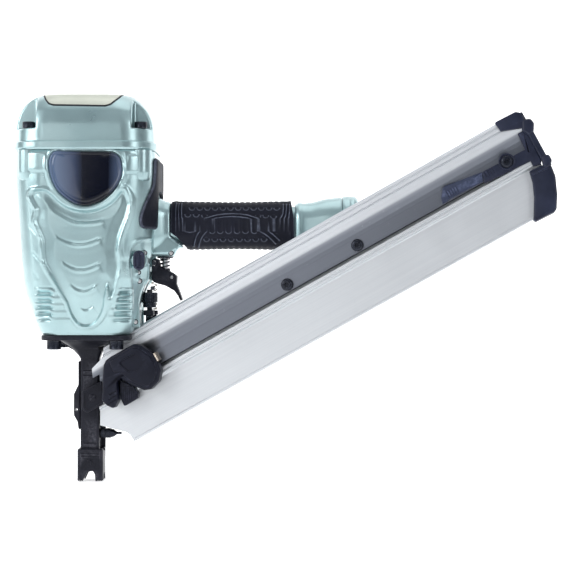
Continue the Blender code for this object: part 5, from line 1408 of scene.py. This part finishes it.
# tail cap: top block, end knob, slanted double bar, knuckle and the lower block with its curved back
tail = in_magazine(plate("tail_block", smooth_profile(on_mag(
    12.6, (494.0, 122.6, 2.0), (515.4, 111.6, 2.5), (520.6, 112.6, 2.5), (524.6, 118.0, 2.0), (524.6, 128.0, 0.5), (500.6, 131.6, 1.2)), 1, 5), -12.9, 10.6, 1.3, segments=4))
cut(tail, in_magazine(box("rail_room", (380.0, -11.5, -60.0), (443.5, 8.7, 0.25))))
join(tail,
     in_magazine(plate("tail_knob", smooth_profile(on_mag(12.0, (521.5, 120.0, 3.5), (530.5, 118.2, 3.5), (534.2, 123.0, 3.0), (533.8, 131.5, 3.5), (529.2, 136.0, 3.0), (522.0, 131.0, 3.0)), 1, 6),
                       -13.6, 9.0, 2.2, segments=5)),
     in_magazine(plate("tail_bar_inner", smooth_profile(on_mag(11.0, (517.5, 133.8, 0.8), (526.0, 129.0, 0.8), (541.6, 160.0, 0.8), (541.0, 164.6, 0.8), (533.0, 166.6, 0.8)), 1, 3),
                       -11.2, 8.0, 1.0, segments=3)),
     in_magazine(plate("tail_bar_outer", smooth_profile(on_mag(12.4, (526.0, 131.0, 1.2), (532.8, 130.0, 1.2), (546.6, 155.4, 1.2), (541.8, 160.6, 1.2)), 1, 3),
                       -13.0, 9.0, 1.2, segments=4)),
     in_magazine(plate("tail_knuckle", smooth_profile(on_mag(13.0, (541.0, 156.2, 2.0), (548.8, 153.8, 3.0), (552.0, 159.8, 3.0), (551.0, 166.0, 2.5), (544.0, 168.4, 2.0)), 1, 6),
                       -14.0, 9.4, 1.8, segments=4)),
     in_magazine(plate("tail_lower", smooth_profile(on_mag(12.4, (529.0, 171.6, 1.0), (533.0, 169.0, 1.5), (546.6, 163.4, 1.5), (551.6, 165.8, 3.0), (555.6, 176.0, 8.0), (557.4, 194.0, 10.0),
                                                          (556.8, 208.6, 2.5), (554.4, 212.2, 2.0), (535.6, 221.8, 1.2), (533.4, 220.2, 0.8), (534.0, 197.0, 10.0), (532.4, 182.4, 8.0)), 1, 6),
                       -12.9, 10.8, 1.8, segments=5)),
     in_magazine(plate("tail_rib", smooth_profile(on_mag(12.8, (531.6, 172.6, 0.5), (547.2, 166.0, 1.0), (549.4, 168.0, 1.0), (533.0, 175.4, 0.5)), 1, 3), -13.5, -12.0, 0.35)),
     in_magazine(box("tail_back", (443.6, -11.0, -56.0), (449.0, 8.7, -2.0), 0.8)),
     in_magazine(plate("tail_arm", smooth_profile(on_mag(11.0, (482.4, 171.8, 0.6), (524.6, 149.8, 0.6), (535.0, 147.0, 0.6), (541.0, 162.0, 0.6), (530.4, 161.4, 0.6), (484.6, 183.6, 0.6)), 1, 4),
                       -11.2, -7.3, 0.8)),
     in_magazine(turned("arm_boss", smooth_profile([(0, 7.5), (7.4, 7.5), (7.4, 12.1, 0.5), (6.1, 12.1, 0.4), (6.1, 11.25, 0.1), (0, 11.25)], 0, 3), (416.1, 0, -34.0), "-Y", 48)))
cut(tail, in_magazine(box("loading_slot", (405.0, -SLOT_HALF, -85.4), (480.0, SLOT_HALF, -5.6), 0.5)),
    in_magazine(box("below_channel", (380.0, -9.65, -90.3), (441.8, 8.7, -39.4))),
    in_magazine(box("arm_room", (380.0, -7.35, -41.0), (443.4, 8.7, 0.1))))
cut(tail, in_magazine(cylinder("tail_screw_hole", 2.5, 30.0, (416.1, -10.0, -34.0), "Y", 24)))
for k in range(4):
    cut(tail, in_magazine(box("arm_groove", (394.0 + 2.6 * k, -11.8, -37.6), (395.1 + 2.6 * k, -10.7, -30.3), 0.25)))
finish(tail, "gloss_plastic", replaces=("tail_cap",))

stopper_line = [(x, max(z, -39.3), r) for x, z, r in on_mag(
    10.4, (442.4, 188.2, 1.5), (444.0, 186.4, 1.5), (482.0, 171.9, 0.4), (484.3, 183.2, 0.4), (448.0, 200.0, 1.0), (447.2, 203.0, 0.4), (442.6, 204.0, 0.4), (440.9, 198.0, 1.5))]
stopper = in_magazine(plate("stopper_lever", smooth_profile(stopper_line, 1, 4),
                            -10.6, -7.4, 0.7))
for k in range(5):
    cut(stopper, in_magazine(box("stopper_groove", (356.5 + 2.4 * k, -11.2, -37.0), (357.5 + 2.4 * k, -10.2, -30.8), 0.25)))
finish(stopper, "stopper_plastic", "stopper", ("nail_stopper",))

# ============================================================ nose
nose = plate("nose_body", rounded_loop(-41.5, 40.0, -37.5, 37.5, 14, 14), 129.3, 134.0, 0.9, plane="XY")
funnel = []
ftab = ((112.0, -8.3, 9.2, 8.0, 2.5), (118.0, -12.0, 11.5, 10.0, 4), (124.0, -19.0, 17.0, 15.0, 6), (129.0, -26.0, 24.0, 22.0, 8), (131.5, -28.0, 26.0, 24.0, 8))
for z in np.linspace(112.0, 131.5, 22):
    x0, x1, hy, r = smooth_table(ftab, z)
    funnel.append([(x, y, z) for x, y in rounded_loop(x0, x1, -hy, hy, r, 8)])
join(nose, skin("nose_funnel", funnel))
col = []
for z, d in ((10.0, 0.7), (10.3, 0.25), (10.8, 0.0), (60.0, 0.0), (112.5, 0.0)):
    col.append([(x, y, z) for x, y in rounded_loop(-8.3 + d, 9.2 - d, -8.0 + d, 8.0 - d, 2.5, 8)])
join(nose, skin("nose_column", col))
# a web braces the flange on the column at the front
join(nose, plate("front_web", [(-8.0, 112), (-8.0, 130.5), (-31.0, 130.5), (-29.5, 127.5), (-15.0, 119.5)], -2.2, 2.2, 0.5))
cut(nose, cylinder("drive_bore", 4.75, 200.0, (0, 0, 80.0), segments=48), box("shank_slot", (0.0, -3.4, 15.0), (30, 2.4, 99.0)),
    box("head_slot", (0.0, -5.0, 98.0), (30, 4.0, 107.5)))
for x, y in NOSE_BOLTS:
    cut(nose, cylinder("flange_hole", 3.3, 20.0, (x, y, 131.0), segments=24))
cut(nose, in_magazine(box("magazine_room_nose", (12.0, -13.2, -60.0), (95.0, 10.6, 1.2))))
for zc in (100.5, 96.0, 34.0, 29.5):
    cut(nose, box("column_groove", (-5.5, -8.6, zc), (6.6, -7.5, zc + 1.6), 0.3))
finish(nose, "nose", replaces=("nose_casting",))

fp = plate("front_guard", smooth_profile([(-8.6, 110, 0.4), (-10.2, 109, 0.4), (-10.2, 88, 3), (-14.4, 79.5, 3), (-14.4, 60, 3), (-11.0, 54, 2), (-10.2, 47.5, 0.4),
                                          (-8.6, 47.0, 0.3)], 0.5, 5), -6.5, 6.5, 0.7)
cut(fp, cylinder("guard_hole", 1.3, 30.0, (-12.0, 0, 65.0), "Y", 24), box("guard_slot", (-16.0, -1.6, 64.0), (-13.6, 1.6, 76.0), 0.4))
finish(fp, "nose", replaces=("nose_front_plate",))

br = plate("side_bracket", smooth_profile([(-6.0, 82.0, 1.0), (12.6, 92.3, 1.2), (13.6, 70.4, 1.5), (-1.0, 62.6, 1.5), (-6.0, 66.0, 1.2)], 1, 4), -15.2, -12.9, 0.5)
join(br, box("bracket_foot", (-6.0, -13.2, 66.5), (3.0, -8.3, 81.5), 0.6))
cut(br, plate("bracket_recess", smooth_profile([(-3.6, 80.6), (10.4, 88.6), (11.3, 72.0), (-1.0, 65.4), (-3.6, 67.2)], 1, 3), -15.6, -14.7))
join(br, turned("bracket_rivet", smooth_profile([(0, 0), (3.4, 0, 0.1), (3.4, 0.7, 0.4), (1.4, 1.3, 0.5), (0, 1.3)], 0), (3.6, -14.4, 76.6), "-Y", 36))
finish(br, "nose", replaces=("nose_side_bracket",))


def catch_knurl(r, z, t):
    if r > 4.3 and 0.9 < z < 8.9:
        return r - 0.32 * (0.5 + 0.5 * math.cos(22 * t)) - (0.25 if 4.4 < z < 5.2 else 0.0)
    return r


prof = [(0, 0), (3.8, 0), (4.4, 0.5), (4.6, 1.0), (4.6, 1.01), (4.6, 2.6), (4.6, 4.3), (4.6, 4.5), (4.6, 5.1), (4.6, 5.3), (4.6, 7.0), (4.6, 8.8), (4.5, 9.1), (3.9, 10.4), (3.4, 12.4),
        (2.7, 13.4), (2.0, 14.2), (1.4, 14.9), (1.2, 15.6), (1.2, 18.9), (0.9, 19.5), (0, 19.5)]
catch = turned("catch_pin", prof, (9.6, 0, 43.2), "X", 66, catch_knurl)
finish(catch, "bolt", "catch", ("magazine_catch",))

# ============================================================ feeder
fb = in_magazine(plate("feeder_shoe", smooth_profile([
    (12.3, -17.0, 2.5), (16.1, -14.2, 2.5), (22.0, -13.4, 3), (46.0, -13.6, 4), (51.1, -17.7, 5), (57.3, -29.4, 5), (57.6, -38.0, 4), (56.4, -46.3, 4), (49.9, -54.1, 4),
    (40.0, -57.0, 4), (33.8, -54.6, 2.5), (31.4, -51.3, 2), (25.9, -45.1, 3), (20.1, -33.7, 4), (15.5, -36.5, 3), (9.5, -50.6, 4), (1.5, -56.2, 3), (-2.9, -50.1, 3),
    (-4.8, -43.9, 4), (0.5, -36.0, 4), (5.6, -27.0, 4)], 2, 5), -27.0, -12.1, 2.4, segments=5))
join(fb, in_magazine(plate("shoe_step", smooth_profile([
    (18.5, -18.0, 3), (23.0, -16.4, 3), (44.5, -16.6, 3), (48.5, -19.6, 4), (54.0, -30.0, 4), (54.4, -38.0, 4), (53.0, -45.0, 4), (47.6, -51.0, 3), (40.5, -53.4, 3), (35.5, -51.4, 2),
    (29.0, -43.2, 3), (23.4, -31.0, 4), (17.8, -27.0, 3)], 2, 5), -28.3, -24.0, 1.3, segments=4)))
cut(fb, in_magazine(plate("shoe_recess", smooth_profile([(25.5, -21.6), (42.6, -21.8), (46.6, -27.4), (46.4, -33.4), (38.6, -36.4), (30.2, -33.2)], 3, 5), -28.8, -27.2, 0.0)))
join(fb, in_magazine(box("feeder_neck", (24.0, -13.5, -42.6), (50.0, 2.6, -39.9))))
cut(fb, in_magazine(cylinder("drum_pocket", 6.8, 11.6, (54.6, -18.6, -33.6), segments=48)),
    in_magazine(box("neck_room", (20.0, 0.0, -44.0), (60.0, 6.0, -36.0))))
for k in range(3):
    cut(fb, in_magazine(box("heel_groove", (-1.6 + 3.0 * k, -27.6, -50.6 + 3.4 * k), (9.6 + 1.2 * k, -26.2, -49.4 + 3.4 * k), 0.3)))
finish(fb, "plastic", "feeder", ("feeder_block",))

rp = in_magazine(plate("release_pad", smooth_profile([(15.8, -39.0, 0.8), (18.8, -37.0, 0.8), (26.4, -47.2, 1.5), (27.2, -54.6, 1.5), (24.2, -58.0, 1.5), (10.0, -58.4, 1.5), (10.3, -51.2, 0.8)], 0.8, 4),
                       -21.4, -12.6, 0.8))
for tilt, count in ((28, 9), (-62, 7)):
    for k in range(count):
        rib = box("rib", (-14.0, -22.4, -0.36), (14.0, -20.75, 0.36))
        step_x, step_z = math.sin(math.radians(tilt)) * 1.9, -math.cos(math.radians(tilt)) * 1.9
        move(rib, Matrix.Translation([(18.6 + (k - (count - 1) / 2) * -step_x) * MM, 0, (-49.4 + (k - (count - 1) / 2) * step_z) * MM]) @ Matrix.Rotation(math.radians(tilt), 4, "Y"))
        cut(rp, in_magazine(rib))
finish(rp, "plastic", "feeder_release_pad", ("feeder_release",))

# constant-force spring: a rolled strip whose turns show at the end of the drum
turns = [(2.0, -37.6), (2.0, -29.6)]
prof = [(2.0, -37.6)]
for k in range(9):
    r0 = 2.4 + 0.41 * k
    prof += [(r0, -37.6), (r0 + 0.26, -37.6), (r0 + 0.26, -37.2), (r0 + 0.41, -37.2)]
prof += [(6.09, -37.6)]
top = []
for k in range(9):
    r0 = 2.4 + 0.41 * k
    top += [(r0, -29.6), (r0 + 0.26, -29.6), (r0 + 0.26, -30.0), (r0 + 0.41, -30.0)]
prof = [(2.0, -37.6)] + [p for k in range(9) for p in ((2.4 + 0.41 * k, -37.6), (2.66 + 0.41 * k, -37.6), (2.66 + 0.41 * k, -37.2), (2.81 + 0.41 * k - 0.001, -37.2))] \
    + [(6.1, -37.6), (6.1, -29.6)] + [p for k in reversed(range(9)) for p in ((2.81 + 0.41 * k - 0.001, -30.0), (2.66 + 0.41 * k, -30.0), (2.66 + 0.41 * k, -29.6), (2.4 + 0.41 * k, -29.6))] \
    + [(2.0, -29.6)]
drum = in_magazine(turned("spring_roll", prof, (54.6, -18.6, 0), steps=56))
finish(drum, "spring", "feeder", ("feeder_spring_drum",))
cad("bolt", "feeder_pusher", bevel=0.3)

# ============================================================ trigger group
tr = plate("trigger_lever", smooth_profile([(57.4, 202.3, 1.5), (59.8, 204.0, 1.5), (63.4, 202.9, 1.5), (64.9, 196.5, 2), (71.8, 193.3, 2), (80.3, 187.9, 2), (79.9, 180.4, 4),
                                            (82.6, 173.5, 5), (85.4, 165.8, 1.2), (83.4, 164.6, 1.0), (81.2, 169.4, 4), (77.8, 174.1, 5), (69.9, 178.6, 5), (60.8, 181.1, 3), (57.0, 184.0, 2)],
                                           1.5, 5), -8.6, 8.6, 1.3, segments=4)
cut(tr, plate("trigger_channel", [(50, 210), (74.0, 215), (78.2, 190.5), (78.2, 184.2), (69.0, 183.0), (60.0, 184.4), (50, 184.4)], -5.2, 5.2),
    box("rod_window", (50.0, -4.4, 178.0), (61.5, 4.4, 190.0)))
cut(tr, cylinder("trigger_pin_bore", 2.3, 30.0, (TRIGGER_X, 0, TRIGGER_Z), "Y", 32), cylinder("arm_pin_bore", 1.6, 30.0, (75.4, 0, 186.4), "Y", 24))
finish(tr, "nose", "trigger_group", ("trigger",))


def pin(name, r, half, x, z, body, node, mat="steel"):
    prof = [(0, -half), (r - 0.4, -half), (r, -half + 0.4), (r, half - 1.3), (r - 0.25, half - 1.15), (r - 0.25, half - 0.75), (r, half - 0.6), (r, half - 0.4), (r - 0.4, half), (0, half)]
    ob = turned(name, prof, (x, 0, z), "-Y", 32)
    return finish(ob, mat, body, (node,))


pin("pivot_pin", 2.0, 10.0, TRIGGER_X, TRIGGER_Z, "tool_body", "trigger_pivot_pin", "bolt")
pin("arm_pin", 1.3, 9.2, 75.4, 186.4, "trigger_group", "trigger_arm_pin")
cad("steel", "trigger_arm", bevel=0.3)
cad("steel", "trigger_valve_plunger")


def coil(name, r, wire, z0, z1, turns, centre, sides=10, steps=30):
    """Compression spring with closed, flattened ends, standing on z."""
    path = []
    n = int(turns * steps)
    for i in range(n + 1):
        t = i / n
        lift = 0.5 - 0.5 * math.cos(math.pi * min(1.0, max(0.0, (t * turns - 0.5) / (turns - 1.0))))
        lin = min(1.0, max(0.0, (t * turns - 0.6) / (turns - 1.2)))
        a = 2 * math.pi * turns * t
        path.append((centre[0] + r * math.cos(a), centre[1] + r * math.sin(a), z0 + wire + (z1 - z0 - 2 * wire) * (0.3 * lift + 0.7 * lin)))
    P = np.array(path)
    T = np.gradient(P, axis=0)
    T /= np.linalg.norm(T, axis=1)[:, None]
    rings = []
    for i, (p, t) in enumerate(zip(P, T)):
        out = np.array([p[0] - centre[0], p[1] - centre[1], 0.0])
        out /= np.linalg.norm(out)
        side = np.cross(t, out)
        side /= np.linalg.norm(side)
        taper = 0.6 if i in (0, len(P) - 1) else 1.0
        rings.append([tuple(p + taper * wire * (math.cos(2 * math.pi * k / sides) * out + math.sin(2 * math.pi * k / sides) * side)) for k in range(sides)])
    return skin(name, rings, angle=50)


spring = coil("trigger_return_spring", 4.3, 0.55, 192.6, 203.9, 4.6, (VALVE_X, 0.0))
finish(spring, "bolt")
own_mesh(spring)
vb = turned("valve_bush", smooth_profile([(3.1, 204.0, 0.1), (7.0, 204.0, 0.4), (7.4, 204.4, 0.2), (7.4, 205.2, 0.1), (6.9, 205.4, 0.1), (6.9, 206.0, 0.1), (9.0, 206.6, 0.4), (9.0, 232.0, 0.4),
                                          (7.0, 234.0, 0.4), (7.0, 243.0, 0.3), (3.1, 243.0, 0.1)], 0, 3), (VALVE_X + 0.0, 0, 0), steps=56)
finish(vb, "bolt", replaces=("trigger_valve_body",))


def knob_loop(d, y):
    n = 64
    pts = []
    for i in range(n):
        a = 2 * math.pi * (i + 0.5) / n
        r = 5.2 - d
        pts.append((SELECT_X + r * math.cos(a), y, SELECT_Z + 3.6 * (1 if math.sin(a) > 0 else -1) + r * math.sin(a)))
    return pts


knob = skin("mode_knob", [knob_loop(d, y) for d, y in ((0.3, -51.3), (0.0, -51.6), (0.0, -54.2), (0.25, -54.8), (0.8, -55.15), (1.7, -55.2), (2.0, -54.9), (2.3, -54.7), (3.2, -54.7))], angle=40)
join(knob, cylinder("selector_spindle", 2.7, 7.4, (SELECT_X, -48.0, SELECT_Z), "Y", 40),
     plate("pointer", smooth_profile([(SELECT_X - 1.1, SELECT_Z - 5.6), (SELECT_X + 1.1, SELECT_Z - 5.6), (SELECT_X + 0.5, SELECT_Z + 6.6), (SELECT_X - 0.5, SELECT_Z + 6.6)], 0.4, 3),
           -55.4, -54.4, 0.2))
finish(knob, "gloss_plastic", "selector", ("selector_knob",))

# ============================================================ contact arm
rod = turned("push_rod", [(0, 149.75), (2.1, 149.75), (2.5, 150.2)] + [p for k in range(9) for p in ((2.5, 151.0 + 1.0 * k), (2.2, 151.35 + 1.0 * k), (2.5, 151.7 + 1.0 * k))]
             + [(2.5, 174.8), (2.1, 175.25), (0, 175.25)], (DIAL_X, 0, 0), steps=40)
join(rod, box("rod_tongue", (55.6, -3.4, 174.7), (59.6, 3.4, 178.2), 0.4))
finish(rod, "bolt", "contact_arm", ("contact_arm_rod",))


def dial_knurl(r, z, t):
    if r > 7.2 and 164.0 < z < 171.9:
        return r - 0.42 * (0.5 + 0.5 * math.cos(20 * t)) ** 0.7
    if 5.9 < r < 6.6 and 159.2 < z < 162.6:
        return r - 0.3 * (0.5 + 0.5 * math.cos(20 * t))
    return r


dial = turned("adjuster_wheel", [(2.9, 158.6), (5.8, 158.6), (6.2, 159.0), (6.2, 159.3), (6.2, 161.0), (6.2, 162.5), (6.2, 163.1), (7.2, 163.4), (7.6, 163.9), (7.6, 164.2), (7.6, 166.0),
                                 (7.6, 167.9), (7.6, 169.9), (7.6, 171.7), (7.5, 172.1), (7.0, 172.6), (2.9, 172.6)], (DIAL_X, 0, 0), steps=100, flute=dial_knurl)
finish(dial, "bolt", "depth_adjuster", ("depth_dial",))

foot = plate("work_foot", smooth_profile([(49.9, 155.6, 0.6), (60.0, 155.6, 1.2), (60.0, 140.0, 4), (58.5, 122.0, 6), (54.0, 112.5, 4), (13.5, 88.0, 3), (12.6, 20.0, 1), (-6.0, 20.0, 1),
                                          (-6.0, 90.0, 3), (4.0, 99.5, 4), (49.9, 118.8, 4)], 1, 5), 12.2, 15.4, 0.7)
join(foot, box("foot_yoke", (49.2, -5.0, 151.4), (58.6, 14.8, 156.2), 0.7), box("spring_pad", (52.0, 9.0, 151.9), (61.4, 14.2, 155.9), 0.5))
sleeve = []
for z, d in ((0.0, 0.5), (0.5, 0.0), (10.0, 0.0), (28.6, 0.0), (29.4, 0.7)):
    sleeve.append([(x, y, z) for x, y in rounded_loop(-10.6 + d, 12.9 - d, -11.4 + d, 13.4 - d, 2.2, 8)])
join(foot, skin("foot_sleeve", sleeve))
cut(foot, cylinder("yoke_bore", 2.9, 20.0, (DIAL_X, 0, 154.0), segments=32), box("sleeve_bore", (-8.8, -8.8, -10.0), (9.8, 8.8, 60.0)))
cut(foot, plate("claw_side", smooth_profile([(-6.8, -5), (-5.4, 0.6), (-1.6, 8.4), (3.8, 9.6), (5.6, 6.0), (6.4, -5)], 1.6, 4), -30, 30))
cut(foot, plate("claw_front", smooth_profile([(-7.6, -5), (-6.4, 1.0), (-3.0, 7.0), (3.0, 7.0), (6.4, 1.0), (7.6, -5)], 1.6, 4), -30, 30, plane="YZ"))
cut(foot, box("catch_room", (9.5, -6.4, 27.0), (40, 6.4, 60.0)))
for x0 in (-10.9, 7.6):
    for k in range(3):
        xa = x0 + 1.9 * k
        cut(foot, plate("tooth", [(xa, -0.6), (xa + 1.5, -0.6), (xa + 0.75, 1.5)], -30, 30))
join(foot, turned("foot_pin", smooth_profile([(0, 0), (2.4, 0, 0.1), (2.4, 0.7, 0.3), (1.2, 1.0, 0.4), (0, 1.0)], 0), (1.2, -11.2, 17.6), "-Y", 32))
for z0 in (22.5, 25.0):
    cut(foot, box("sleeve_groove", (-7.5, -12.0, z0), (9.4, -11.0, z0 + 0.9), 0.3))
finish(foot, "nose", "foot", ("contact_foot",))

# ============================================================ hanger between the end cap and the magazine
hg = box("hanger_arm", (229.0, -8.0, 199.6), (247.0, 14.0, 204.3), 1.0)
join(hg, upright("hanger_plate", smooth_profile([(232.0, 158.0, 3), (250.0, 158.0, 3), (250.0, 203.5, 1.5), (232.0, 203.5, 1.5)], 1, 5), 8.9, 12.4, 0.6))
join(hg, box("hanger_bridge", (229.5, -23.0, 190.0), (246.5, 12.0, 203.9), 1.2))
cut(hg, cylinder("hanger_bolt_hole", 3.0, 30.0, (239.0, 0.0, 198.0), segments=32), box("hanger_relief", (225.0, -16.0, 180.0), (252.0, 20.0, 199.3)))
finish(hg, "nose", replaces=("magazine_hanger",))
socket_screw("hanger_screw", 4.8, 5.0, 2.5, 12.0, (239.0, 0.0, 199.0), False, "hanger_bolt")

# ============================================================ inner pieces kept from the CAD, with their finishes
cad("gasket", "cap_gasket")
cad("alu", "cylinder_liner", "piston", bevel=0.25)
cad("gasket", "return_air_band", "piston_o_ring", "piston_bumper", bevel=0.2)
cad("steel", "driver_blade", bevel=0.25)
cad("plastic", "head_valve", bevel=0.3)
valve_coil = coil("head_valve_coil", 14.5, 1.1, 298.9, 333.6, 4.5, (0.0, 0.0), sides=12, steps=40)
finish(valve_coil, "spring", replaces=("head_valve_spring",))
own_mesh(valve_coil)
arm_coil = coil("contact_arm_coil", 2.7, 0.45, 156.5, 184.5, 8.0, (57.9, 12.3), sides=10, steps=24)
finish(arm_coil, "spring", replaces=("contact_arm_spring",))
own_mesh(arm_coil)
